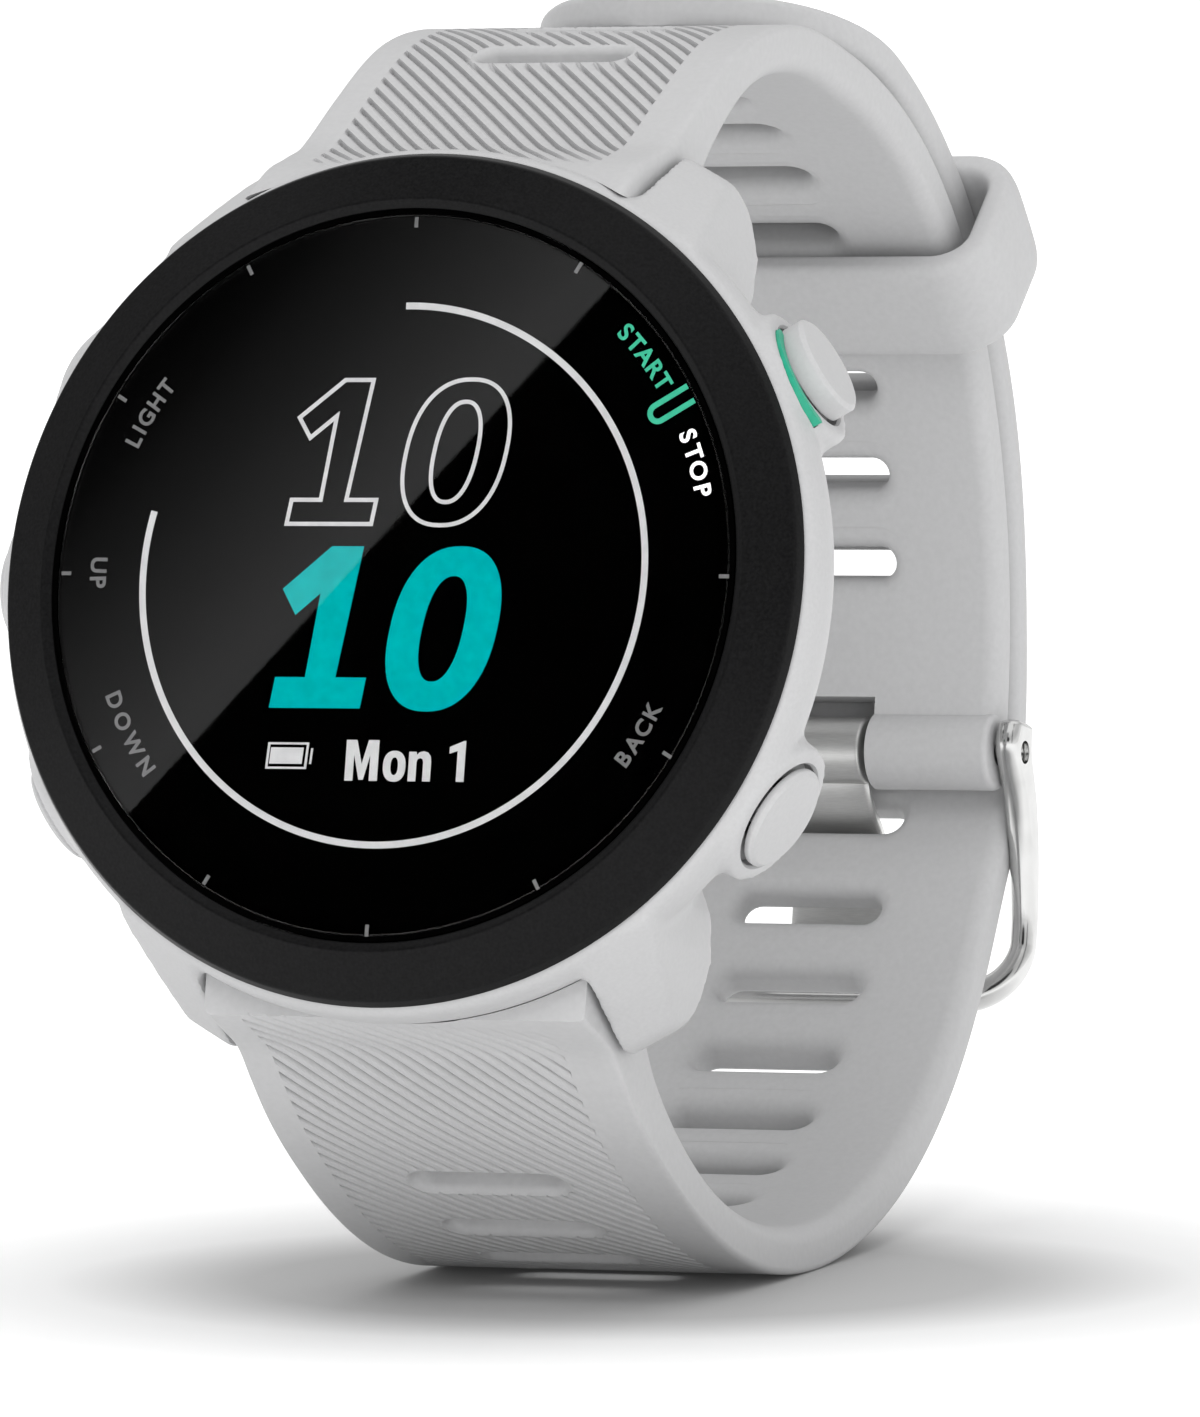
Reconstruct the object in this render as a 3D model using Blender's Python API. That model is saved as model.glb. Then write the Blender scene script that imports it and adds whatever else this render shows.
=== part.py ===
"""A round GPS running watch on its buckled silicone strap, leaning back on the strap loop.

Every number is in millimetres in the watch's own axes: X towards 3 o'clock, Y from the dial into
the watch, Z towards 12 o'clock, with the centre of the dial at the origin.
"""

import math

import bmesh
import bpy
from mathutils import Matrix, Vector

MM = 0.001
LEAN = math.radians(14.0)
STAND = Vector((0.4, -28.258, 37.056))

# The loop: both straps follow arcs about one line behind the dial.
LOOP_Y = 29.0
LOOP_Z = 0.3
STRAP_HALF_WIDTH = 10.0
SLOT_PITCH = 9.6
SLOT_HALF_LENGTH = 4.1
SLOT_HALF_HEIGHT = 1.15

# Outer face of each strap: angle about the loop line, radius, thickness, half width.
UPPER_PATH = (
    (147, 32.55, 4.6, 10.0),
    (134, 30.3, 4.3, 10.0),
    (124, 30.8, 3.0, 10.0),
    (112, 31.7, 2.5, 10.0),
    (100, 31.8, 2.4, 10.0),
    (88, 31.3, 2.4, 10.0),
    (64, 31.1, 2.4, 10.0),
    (50, 30.8, 2.4, 10.0),
    (36, 30.1, 2.3, 9.9),
    (14, 29.4, 2.1, 9.8),
    (1, 29.1, 2.1, 9.8),
)
LOWER_PATH = (
    (-147, 32.55, 4.6, 10.0),
    (-134, 30.5, 4.3, 10.0),
    (-124, 30.5, 3.0, 10.0),
    (-112, 30.2, 2.4, 10.0),
    (-88, 30.35, 2.4, 10.0),
    (-64, 30.3, 2.4, 10.0),
    (-40, 30.35, 2.4, 10.0),
    (-22, 30.3, 2.3, 10.0),
    (-13, 30.6, 2.2, 9.9),
    (-6, 31.6, 2.1, 9.8),
    (1, 32.35, 2.1, 9.6),
    (14, 32.9, 2.1, 9.4),
    (36, 33.75, 2.1, 9.4),
    (58, 33.95, 2.0, 9.4),
    (80, 33.9, 1.9, 9.4),
    (84, 33.9, 1.9, 9.3),
    (88, 33.9, 1.9, 8.6),
    (91, 33.9, 1.8, 7.2),
    (93.5, 33.9, 1.7, 4.6),
)
UPPER_SLOTS = [19.7 + SLOT_PITCH * i for i in range(11)]
LOWER_SLOTS = [-113.4 + SLOT_PITCH * i for i in range(11)]
TONGUE_SLOT = -7.4
TAIL_SLOTS = [18.2 + SLOT_PITCH * i for i in range(7)]

# Case
CASE_RADIUS = 21.4
LUG_INNER = 10.3
SPRING_BAR = (8.7, 19.9)
SPRING_BAR_RADIUS = 0.75
BARREL_RADIUS = 2.15
BACK_RIM = 9.7
COVER_BACK = 10.2
SENSOR_BACK = 11.35

# Buttons: name, angle from 3 o'clock, outer face distance from the dial axis.
BUTTONS = (
    ("start", 28.3, 22.85),
    ("back", -29.8, 22.1),
    ("up", 180.0, 22.2),
    ("light", 150.0, 22.2),
    ("down", 210.0, 22.2),
)
BUTTON_Y = 5.5
BUTTON_RADIUS = 2.65

# Buckle
PIN = (56.9, 0.2)
KNUCKLE_RADIUS = 2.0
FAR_BAR = (58.8, -12.3)
FORK_HALF_WIDTH = 3.1
ARM_X = 10.75
TONGUE_HALF_WIDTH = 2.65

KEEPER_ANGLE = 51.7

COLORS = {
    "silicone": (0.66, 0.66, 0.66, 1),
    "case_polymer": (0.7, 0.7, 0.7, 1),
    "bezel_black": (0.02, 0.02, 0.02, 1),
    "glass": (0.03, 0.03, 0.035, 1),
    "steel": (0.62, 0.62, 0.62, 1),
    "green": (0.02, 0.42, 0.24, 1),
    "board": (0.02, 0.14, 0.06, 1),
    "cell": (0.5, 0.5, 0.52, 1),
    "gold": (0.8, 0.6, 0.25, 1),
    "dark_polymer": (0.05, 0.05, 0.055, 1),
    "rubber": (0.03, 0.03, 0.03, 1),
}
MATERIALS = {}


def clear_scene():
    for obj in list(bpy.data.objects):
        bpy.data.objects.remove(obj)


def material(slot):
    if slot not in MATERIALS:
        made = bpy.data.materials.new(slot)
        made.use_nodes = True
        shader = made.node_tree.nodes["Principled BSDF"]
        shader.inputs["Base Color"].default_value = COLORS[slot]
        shader.inputs["Metallic"].default_value = 1.0 if slot in ("steel", "gold") else 0.0
        shader.inputs["Roughness"].default_value = 0.25 if slot in ("glass", "steel") else 0.5
        MATERIALS[slot] = made
    return MATERIALS[slot]


def make(name, points, faces, slot="silicone", pivot=(0, 0, 0)):
    """One closed mesh object under the leaning frame, with its origin at pivot."""
    mesh = bpy.data.meshes.new(name)
    shift = Vector(pivot)
    mesh.from_pydata([(Vector(p) - shift) * MM for p in points], [], faces)
    work = bmesh.new()
    work.from_mesh(mesh)
    bmesh.ops.remove_doubles(work, verts=work.verts, dist=1e-7)
    bmesh.ops.recalc_face_normals(work, faces=work.faces)
    work.to_mesh(mesh)
    work.free()
    mesh.materials.append(material(slot))
    obj = bpy.data.objects.new(name, mesh)
    obj.location = shift * MM
    obj.parent = FRAME
    bpy.context.scene.collection.objects.link(obj)
    return obj


def lathe(name, profile, slot="silicone", steps=48, pivot=(0, 0, 0)):
    """Turns a closed (radius, y) outline about the dial axis."""
    count = len(profile)
    points = []
    for i in range(steps):
        angle = math.tau * i / steps
        for radius, y in profile:
            points.append((radius * math.cos(angle), y, radius * math.sin(angle)))
    faces = []
    for i in range(steps):
        a = i * count
        b = (i + 1) % steps * count
        for j in range(count):
            k = (j + 1) % count
            if profile[j][0] < 1e-6 and profile[k][0] < 1e-6:
                continue
            if profile[j][0] < 1e-6:
                faces.append((a + j, a + k, b + k))
            elif profile[k][0] < 1e-6:
                faces.append((a + j, a + k, b + j))
            else:
                faces.append((a + j, a + k, b + k, b + j))
    return make(name, points, faces, slot, pivot)


def rings(name, loops, slot="silicone", closed=False, pivot=(0, 0, 0)):
    """Skins a row of equal rings of points, capped at both ends unless it closes on itself."""
    count = len(loops[0])
    points = [p for loop in loops for p in loop]
    faces = []
    last = len(loops) if closed else len(loops) - 1
    for i in range(last):
        a = i * count
        b = (i + 1) % len(loops) * count
        for j in range(count):
            k = (j + 1) % count
            faces.append((a + j, a + k, b + k, b + j))
    if not closed:
        faces.append(tuple(range(count)))
        faces.append(tuple(len(points) - count + j for j in range(count)))
    return make(name, points, faces, slot, pivot)


def cylinder(name, start, end, radius, slot="silicone", steps=16, pivot=(0, 0, 0), end_radius=None):
    a, b = Vector(start), Vector(end)
    along = (b - a).normalized()
    side = along.orthogonal().normalized()
    other = along.cross(side)
    loops = []
    for centre, size in ((a, radius), (b, end_radius or radius)):
        turn = [math.tau * i / steps for i in range(steps)]
        loops.append([centre + size * (math.cos(t) * side + math.sin(t) * other) for t in turn])
    return rings(name, loops, slot, pivot=pivot)


def tube(name, start, end, outer, inner, slot, steps=14, pivot=(0, 0, 0)):
    """A short pipe between two points."""
    a, b = Vector(start), Vector(end)
    along = (b - a).normalized()
    side = along.orthogonal().normalized()
    other = along.cross(side)
    loops = []
    for i in range(steps):
        out = math.cos(math.tau * i / steps) * side + math.sin(math.tau * i / steps) * other
        loops.append([a + inner * out, a + outer * out, b + outer * out, b + inner * out])
    return rings(name, loops, slot, closed=True, pivot=pivot)


def box(name, low, high, slot="silicone", pivot=(0, 0, 0)):
    x0, y0, z0 = low
    x1, y1, z1 = high
    first = [(x0, y0, z0), (x1, y0, z0), (x1, y0, z1), (x0, y0, z1)]
    second = [(x0, y1, z0), (x1, y1, z0), (x1, y1, z1), (x0, y1, z1)]
    return rings(name, [first, second], slot, pivot=pivot)


def prism(name, outline, x0, x1, slot="silicone", pivot=(0, 0, 0)):
    """A (y, z) outline carried straight along X."""
    loops = [[(x, y, z) for y, z in outline] for x in (x0, x1)]
    return rings(name, loops, slot, pivot=pivot)


def boolean(target, cutter, operation="DIFFERENCE"):
    step = target.modifiers.new(operation.title(), "BOOLEAN")
    step.operation = operation
    step.solver = "EXACT"
    step.object = cutter
    cutter.hide_render = True
    cutter.display_type = "WIRE"
    return target


def ease(table, at, column):
    """Smooth value of one column of a path table at an angle."""
    rows = sorted(table)
    keys = [row[0] for row in rows]
    values = [row[column] for row in rows]
    if at <= keys[0]:
        return values[0]
    if at >= keys[-1]:
        return values[-1]
    i = max(k for k in range(len(keys) - 1) if keys[k] <= at)
    span = keys[i + 1] - keys[i]
    part = (at - keys[i]) / span

    def slope(k):
        if k == 0 or k == len(keys) - 1:
            return 0.0 if column != 1 else (values[1] - values[0]) / (keys[1] - keys[0]) * (k == 0)
        return (values[k + 1] - values[k - 1]) / (keys[k + 1] - keys[k - 1])

    a, b = slope(i) * span, slope(i + 1) * span
    p2, p3 = part * part, part**3
    start = (2 * p3 - 3 * p2 + 1) * values[i] + (p3 - 2 * p2 + part) * a
    return start + (3 * p2 - 2 * p3) * values[i + 1] + (p3 - p2) * b


def polar(angle, radius, x=0.0):
    turn = math.radians(angle)
    return Vector((x, LOOP_Y + radius * math.cos(turn), LOOP_Z + radius * math.sin(turn)))


def outward(table, angle):
    """Unit normal of a strap's outer face."""
    before = polar(angle - 0.5, ease(table, angle - 0.5, 1))
    after = polar(angle + 0.5, ease(table, angle + 0.5, 1))
    along = (after - before).normalized()
    return Vector((0, along.z, -along.y))


def strap_ring(table, angle):
    """Cross-section of a strap: flat outside, round-cornered inside."""
    face = polar(angle, ease(table, angle, 1))
    out = outward(table, angle)
    thick = ease(table, angle, 2)
    half = ease(table, angle, 3)
    soft = min(0.9, thick * 0.4)
    section = (
        (half - 0.35, 0.0),
        (half, -0.35),
        (half, -thick + soft),
        (half - 0.3 * soft, -thick + 0.3 * soft),
        (half - soft, -thick),
    )
    right = [face + Vector((x, 0, 0)) + out * t for x, t in section]
    left = [face + Vector((-x, 0, 0)) + out * t for x, t in reversed(section)]
    return right + left


def strap_body(name, table, step):
    angles = sorted(row[0] for row in table)
    count = round((angles[-1] - angles[0]) / step)
    spread = [angles[0] + (angles[-1] - angles[0]) * i / count for i in range(count + 1)]
    return rings(name, [strap_ring(table, angle) for angle in spread])


def slot_cutters(name, table, angles):
    """Stadium holes through a strap, as one mesh of separate pegs."""
    work = bmesh.new()
    steps = 4
    for angle in angles:
        face = polar(angle, ease(table, angle, 1))
        out = outward(table, angle)
        along = out.cross(Vector((1, 0, 0)))
        straight = SLOT_HALF_LENGTH - SLOT_HALF_HEIGHT
        outline = []
        for end in (0, 1):
            for i in range(steps + 1):
                turn = math.pi * (i / steps + end) - math.pi / 2
                shift = straight if end == 0 else -straight
                x, s = math.cos(turn), math.sin(turn)
                outline.append((shift + SLOT_HALF_HEIGHT * x, SLOT_HALF_HEIGHT * s))
        rows = []
        for depth in (1.5, -5.0):
            centre = face + out * depth
            places = [centre + Vector((x, 0, 0)) + along * s for x, s in outline]
            rows.append([work.verts.new(place * MM) for place in places])
        for j in range(len(outline)):
            k = (j + 1) % len(outline)
            work.faces.new((rows[0][j], rows[0][k], rows[1][k], rows[1][j]))
        work.faces.new(rows[0])
        work.faces.new(rows[1])
    bmesh.ops.recalc_face_normals(work, faces=work.faces)
    mesh = bpy.data.meshes.new(name)
    work.to_mesh(mesh)
    work.free()
    cutter = bpy.data.objects.new(name, mesh)
    cutter.parent = FRAME
    bpy.context.scene.collection.objects.link(cutter)
    return cutter


def button_axes(angle):
    turn = math.radians(angle)
    out = Vector((math.cos(turn), 0, math.sin(turn)))
    return out, Vector((0, BUTTON_Y, 0))


# ---------------------------------------------------------------- case and dial stack


def lug_outline(x):
    """(y, z) outline of the upper lugs at a distance from the middle: the front face falls away outwards."""
    fall = 0.55 * (x - LUG_INNER)
    front = [(1.6, 18.2), (3.0, 19.05), (5.6, 20.6), (8.1, 22.0), (9.0, 22.1), (10.1, 21.6)]
    back = [(11.4, 20.4), (12.3, 18.9), (12.7, 17.2), (12.5, 15.4), (11.6, 13.4), (9.6, 12.0)]
    return [(y, z - fall) for y, z in front] + [(y, z - 0.5 * fall) for y, z in back]


def build_lugs():
    """Four horns that hold the spring bars."""
    lugs = []
    hollow_outline = [(0, -1), (20.2, -1), (20.2, 5.0), (18.2, 7.0), (17.6, 20), (0, 20)]
    hollow = lathe("lug_hollow", hollow_outline)
    plan = [(8.0, 23.5), (11.9, 23.5), (12.35, 21.9), (12.8, 20.9), (13.4, 18.9), (13.9, 16.9)]
    plan += [(14.4, 15.0), (15.6, 12.9), (17.6, 10.2), (8.0, 10.2)]
    for i, (sx, sz) in enumerate(((1, 1), (1, -1), (-1, -1), (-1, 1))):
        loops = [[(sx * x, y, sz * z) for y, z in lug_outline(x)] for x in (LUG_INNER, 18.0)]
        lug = rings(f"lug_{i}", loops)
        sides = [[(sx * x, y, sz * z) for x, z in plan] for y in (0.0, 14.0)]
        boolean(lug, rings(f"lug_plan_{i}", sides), "INTERSECT")
        boolean(lug, hollow)
        lugs.append(lug)
    return lugs


def build_case():
    profile = [(16.5, 1.45), (19.1, 1.45), (19.1, 2.2), (19.9, 2.2), (19.9, 1.45), (20.9, 1.45)]
    profile += [(21.25, 2.1), (CASE_RADIUS, 3.2), (21.25, 4.2), (20.85, 5.3), (20.15, 7.0)]
    profile += [(19.3, 8.5), (18.5, BACK_RIM), (16.8, BACK_RIM)]
    profile += [(16.8, 8.4), (15.9, 8.4), (15.9, 3.0), (16.5, 3.0)]
    case = lathe("case", profile, "case_polymer", steps=48)
    for lug in build_lugs():
        boolean(case, lug, "UNION")
    for name, angle, reach in BUTTONS:
        out, centre = button_axes(angle)
        boss = cylinder(f"boss_{name}", centre + out * 20.4, centre + out * 21.6, 3.5)
        boolean(case, boss, "UNION")
    for name, angle, reach in BUTTONS:
        out, centre = button_axes(angle)
        seat = cylinder(f"seat_{name}", centre + out * 20.9, centre + out * 25, BUTTON_RADIUS + 0.2)
        bore = cylinder(f"bore_{name}", centre + out * 14, centre + out * 21.5, 1.15)
        pocket = cylinder(f"pocket_{name}", centre + out * 18.9, centre + out * 21.2, 1.75)
        for cutter in (seat, bore, pocket):
            boolean(case, cutter)
    for i in range(4):
        turn = math.radians(45 + 90 * i)
        x, z = 14.9 * math.cos(turn), 14.9 * math.sin(turn)
        boss = cylinder(f"screw_boss_{i}", (x, 5.9, z), (x, 8.3, z), 1.4, steps=14)
        boolean(case, boss, "UNION")
        boolean(case, cylinder(f"screw_bore_{i}", (x, 5.0, z), (x, 9, z), 0.72, steps=12))
    for sign in (1, -1):
        low, high = sorted((sign * 17.4, sign * 30))
        gap = box(f"lug_gap_{sign + 1}", (-LUG_INNER, 6.2, low), (LUG_INNER, 20, high))
        boolean(case, gap)
        y, z = SPRING_BAR[0], sign * SPRING_BAR[1]
        hole = SPRING_BAR_RADIUS + 0.15
        boolean(case, cylinder(f"bar_hole_{sign + 1}", (-11.6, y, z), (11.6, y, z), hole))
    boolean(case, accent_strip("accent_groove", 2.93, 3.42, 20.7, 22.4, 57))
    return case


def accent_strip(name, inner, outer, low, high, half_angle, slot="green"):
    """A curved bar that hugs the front of the start button's seat."""
    out, centre = button_axes(BUTTONS[0][1])
    across = Vector((-out.z, 0, out.x))
    loops = []
    count = 10
    for i in range(count + 1):
        turn = math.radians(-90 - half_angle + 2 * half_angle * i / count)
        ray = math.cos(turn) * across + math.sin(turn) * Vector((0, 1, 0))
        corners = ((inner, low), (outer, low), (outer, high), (inner, high))
        loops.append([centre + ray * r + out * h for r, h in corners])
    return rings(name, loops, slot)


def build_dial_stack():
    bezel = [(17.9, 1.0), (17.9, 0.0), (18.35, -0.25), (20.64, 0.8), (20.88, 1.4)]
    bezel += [(19.8, 1.4), (19.8, 2.05), (19.2, 2.05), (19.2, 1.4), (17.9, 1.4)]
    lathe("bezel", bezel, "bezel_black", steps=48)
    lathe("lens", [(0, -0.05), (17.55, -0.05), (17.75, 0.15), (17.75, 0.95), (0, 0.95)], "glass", 48)
    lathe("lens_seal", [(16.7, 1.0), (17.7, 1.0), (17.7, 1.4), (16.7, 1.4)], "rubber", 28)
    lathe("display_panel", [(0, 1.05), (16.2, 1.05), (16.2, 1.85), (0, 1.85)], "dark_polymer", 28)
    lathe("backlight", [(0, 1.9), (16.2, 1.9), (16.2, 2.5), (0, 2.5)], "case_polymer", 28)
    carrier = [(11.0, 2.55), (16.3, 2.55), (16.3, 2.95), (11.0, 2.95)]
    lathe("display_carrier", carrier, "dark_polymer", 28)


def build_electronics():
    lathe("main_board", [(0, 3.6), (15.0, 3.6), (15.0, 4.4), (0, 4.4)], "board", 28)
    box("shield_can", (-9.0, 4.45, -5.5), (3.5, 5.75, 5.5), "steel")
    box("battery", (-11.2, 5.85, -8.3), (6.2, 8.35, 8.3), "cell")
    motor = (11.0, 0.0, -1.2)
    cylinder("vibration_motor", (motor[0], 4.5, motor[2]), (motor[0], 7.1, motor[2]), 3.9, "steel", 24)
    loops = []
    count = 10
    for i in range(count + 1):
        turn = math.radians(57 + 66 * i / count)
        ray = Vector((math.cos(turn), 0, math.sin(turn)))
        corners = ((14.6, 4.5), (15.2, 4.5), (15.2, 7.6), (14.6, 7.6))
        loops.append([ray * r + Vector((0, y, 0)) for r, y in corners])
    rings("gps_antenna", loops, "gold")


def build_back():
    cover = [(5.65, 9.75), (9.0, 9.75), (9.0, 8.85), (16.6, 8.85), (16.6, 9.9), (16.2, COVER_BACK)]
    cover += [(11.2, COVER_BACK), (9.4, 11.0), (5.65, 11.0)]
    body = lathe("back_cover", cover, "case_polymer", 40)
    for i in range(4):
        turn = math.radians(45 + 90 * i)
        x, z = 14.9 * math.cos(turn), 14.9 * math.sin(turn)
        boolean(body, cylinder(f"cover_hole_{i}", (x, 8, z), (x, 12, z), 0.75, steps=12))
        boolean(body, cylinder(f"cover_sink_{i}", (x, 9.35, z), (x, 12, z), 1.3, steps=14))
        screw = cylinder(f"back_screw_{i + 1}", (x, 9.4, z), (x, 10.1, z), 1.15, "steel", 14)
        boolean(screw, cylinder(f"shank_{i}", (x, 6.6, z), (x, 9.7, z), 0.6, steps=10), "UNION")
        boolean(screw, cylinder(f"drive_{i}", (x, 9.75, z), (x, 11, z), 0.5, steps=6))
    boolean(body, box("port_recess", (-4.2, 9.6, -14.0), (4.2, 12, -11.6)))
    for i in range(4):
        x, z = -2.7 + 1.8 * i, -12.8
        boolean(body, cylinder(f"port_hole_{i}", (x, 8, z), (x, 10, z), 0.55, steps=10))
        cylinder(f"charge_contact_{i + 1}", (x, 8.6, z), (x, 9.8, z), 0.45, "gold", 10)
    lathe("cover_gasket", [(16.05, 8.42), (16.5, 8.42), (16.5, 8.82), (16.05, 8.82)], "rubber", 28)
    lathe("sensor_board", [(0, 8.95), (8.3, 8.95), (8.3, 9.55), (0, 9.55)], "board", 24)
    dome = [(0, 9.8), (5.5, 9.8), (5.5, 11.05), (4.6, 11.25), (0, SENSOR_BACK)]
    lathe("sensor_window", dome, "glass", 32)


def build_buttons():
    for name, angle, reach in BUTTONS:
        out, centre = button_axes(angle)
        pivot = centre + out * 21.6
        face = reach - 0.25
        cap = cylinder(f"button_{name}", centre + out * 21.55, centre + out * face, BUTTON_RADIUS,
                       "case_polymer", 18, pivot)
        dome = cylinder(f"dome_{name}", centre + out * (face - 0.05), centre + out * reach, BUTTON_RADIUS,
                        "case_polymer", 18, end_radius=BUTTON_RADIUS - 0.6)
        stem = cylinder(f"stem_{name}", centre + out * 16.4, centre + out * 21.7, 1.0, "case_polymer", 14)
        boolean(cap, dome, "UNION")
        boolean(cap, stem, "UNION")
        tube(f"seal_{name}", centre + out * 19.7, centre + out * 20.3, 1.6, 1.08, "rubber", 14, pivot)
        cylinder(f"switch_{name}", centre + out * 15.35, centre + out * 15.8, 1.4, "steel", 14)
    accent_strip("accent_strip", 2.98, 3.37, 20.75, 21.8, 55.5)


# ---------------------------------------------------------------- straps and buckle


def case_clearance(name):
    """The room that the case takes out of a strap end."""
    profile = [(0, -2), (21.15, -2), (21.5, 2.1), (21.65, 3.2), (21.5, 4.2), (21.1, 5.3)]
    profile += [(20.6, 6.45), (0, 6.45)]
    return lathe(name, profile, steps=48)


def bar_sleeve(strap, sign, tag):
    """The round end of a strap around its spring bar, and the hole for the bar."""
    y, z = SPRING_BAR[0], sign * SPRING_BAR[1]
    half = STRAP_HALF_WIDTH
    boolean(strap, cylinder(f"sleeve_{tag}", (-half, y, z), (half, y, z), BARREL_RADIUS), "UNION")
    boolean(strap, case_clearance(f"case_room_{tag}"))
    low, high = sorted((0, sign * 17.65))
    boolean(strap, box(f"wall_room_{tag}", (-20, 0, low), (20, 16, high)))
    boolean(strap, cylinder(f"sleeve_hole_{tag}", (-12, y, z), (12, y, z), SPRING_BAR_RADIUS + 0.12))
    window = (-3.6, -1.0) if sign > 0 else (1.0, 3.6)
    low, high = sorted((sign * 15.0, sign * (SPRING_BAR[1] + 0.8)))
    boolean(strap, box(f"lever_window_{tag}", (window[0], y - 0.55, low), (window[1], 14, high)))
    bar = cylinder(f"spring_bar_{tag}", (-11.4, y, z), (11.4, y, z), SPRING_BAR_RADIUS, "steel", 14)
    x = -2.85 * sign
    low, high = (window[0] + 0.1, y + 0.1, z - 2), (window[1] - 0.1, y + 2, z + 2)
    boolean(bar, box(f"lever_notch_{tag}", low, high))
    lever = box(f"release_lever_{tag}", (x - 0.35, y + 0.2, z - 0.5), (x + 0.35, y + 2.3, z + 0.5),
                "steel", (x, y + 0.2, z))
    return lever


def build_upper_strap():
    strap = strap_body("strap_upper", UPPER_PATH, 5.0)
    knuckle = cylinder("knuckle", (-9.8, PIN[0], PIN[1]), (9.8, PIN[0], PIN[1]), KNUCKLE_RADIUS)
    boolean(strap, knuckle, "UNION")
    boolean(strap, slot_cutters("upper_slots", UPPER_PATH, UPPER_SLOTS))
    fork = FORK_HALF_WIDTH
    boolean(strap, box("fork_gap", (-fork, 50, -6), (fork, 64, 2.9)))
    boolean(strap, cylinder("pin_hole", (-12, *PIN), (12, *PIN), 0.75))
    bar_sleeve(strap, 1, "upper")
    return strap


def build_lower_strap():
    strap = strap_body("strap_lower", LOWER_PATH, 5.0)
    holes = LOWER_SLOTS + [TONGUE_SLOT] + TAIL_SLOTS
    boolean(strap, slot_cutters("lower_slots", LOWER_PATH, holes))
    bar_sleeve(strap, -1, "lower")
    return strap


def section_ring(centre, wide, deep, half_wide, half_deep, steps=16, power=0.6):
    """A rounded-rectangle ring of points about a centre."""
    loop = []
    for i in range(steps):
        turn = math.tau * (i + 0.5) / steps
        c, s = math.cos(turn), math.sin(turn)
        a = half_wide * math.copysign(abs(c) ** power, c)
        b = half_deep * math.copysign(abs(s) ** power, s)
        loop.append(centre + wide * a + deep * b)
    return loop


def build_buckle():
    """Steel frame: two arms from the pin, joined by the round far bar."""
    arm = [(PIN[0] - 0.15, 1.55, 1.2), (57.0, 0.2, 1.72), (57.8, -2.5, 1.7)]
    arm += [(58.6, -6.0, 1.6), (59.3, -9.5, 1.45)]
    stations = [(Vector((ARM_X, y, z)), Vector((1, 0, 0)), 0.5, deep) for y, z, deep in arm]
    corner = 2.0
    for i in range(1, 7):
        turn = math.radians(90 * i / 6)
        x = ARM_X - corner * (1 - math.cos(turn))
        z = FAR_BAR[1] + corner * (1 - math.sin(turn))
        wide = Vector((math.cos(turn), 0, -math.sin(turn)))
        y = FAR_BAR[0] + 0.5 * (1 - i / 6)
        stations.append((Vector((x, y, z)), wide, 0.5 + 0.4 * i / 6, 1.2 - 0.2 * i / 6))
    loops = [section_ring(c, w, Vector((0, 1, 0)), a, b, 12) for c, w, a, b in stations]
    mirror = [[Vector((-p.x, p.y, p.z)) for p in loop] for loop in reversed(loops)]
    pivot = (0, *PIN)
    frame = rings("buckle_frame", loops + mirror, "steel", pivot=pivot)
    for sign in (1, -1):
        hole = cylinder(f"frame_hole_{sign + 1}", (sign * 9, *PIN), (sign * 13, *PIN), 0.62, steps=14)
        boolean(frame, hole)
    cylinder("buckle_pin", (-11.0, *PIN), (11.0, *PIN), 0.5, "steel", 14, pivot)


def build_tongue():
    pivot = (0, *PIN)
    half = TONGUE_HALF_WIDTH
    line = [(56.95, -0.9), (57.4, -1.9), (58.3, -2.85), (59.3, -3.5), (60.15, -4.4)]
    line += [(60.65, -5.9), (60.85, -8.2), (60.7, -11.0), (60.4, -13.3)]
    loops = []
    for i, (y, z) in enumerate(line):
        before, after = line[max(i - 1, 0)], line[min(i + 1, len(line) - 1)]
        along = Vector((0, after[0] - before[0], after[1] - before[1])).normalized()
        out = Vector((0, -along.z, along.y))
        width = half if i < len(line) - 1 else half - 0.5
        loops.append(section_ring(Vector((0, y, z)), Vector((1, 0, 0)), out, width, 0.35, 12))
    tongue = rings("buckle_tongue", loops, "steel", pivot=pivot)
    barrel = cylinder("tongue_barrel", (-half, *PIN), (half, *PIN), 1.75)
    boolean(tongue, barrel, "UNION")
    boolean(tongue, cylinder("tongue_bore", (-4, *PIN), (4, *PIN), 0.65, steps=14))


def build_keeper():
    """Closed loop that holds the tail against the upper strap."""
    turn = math.radians(KEEPER_ANGLE)
    out = Vector((0, math.cos(turn), math.sin(turn)))
    along = Vector((0, -math.sin(turn), math.cos(turn)))
    low, high, half = 27.15, 35.0, 11.3
    middle = polar(KEEPER_ANGLE, (low + high) / 2)
    reach = (high - low) / 2
    corner = 1.9
    path = []
    for quarter in range(4):
        sx = 1 if quarter in (0, 3) else -1
        so = 1 if quarter in (0, 1) else -1
        for i in range(5):
            angle = math.radians(90 * quarter + 22.5 * i)
            ray = Vector((math.cos(angle), 0, 0)) + out * math.sin(angle)
            corner_at = Vector((sx * (half - corner), 0, 0)) + out * so * (reach - corner)
            path.append((middle + corner_at + ray * corner, ray))
    loops = [section_ring(p, ray, along, 0.85, 3.0, 12, 0.5) for p, ray in path]
    rings("keeper", loops, closed=True, pivot=middle)


clear_scene()
FRAME = bpy.data.objects.new("watch_frame", None)
FRAME.matrix_world = Matrix.Translation(STAND * MM) @ Matrix.Rotation(-LEAN, 4, "X")
bpy.context.scene.collection.objects.link(FRAME)
build_case()
build_dial_stack()
build_electronics()
build_back()
build_buttons()
build_upper_strap()
build_lower_strap()
build_buckle()
build_tongue()
build_keeper()
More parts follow.
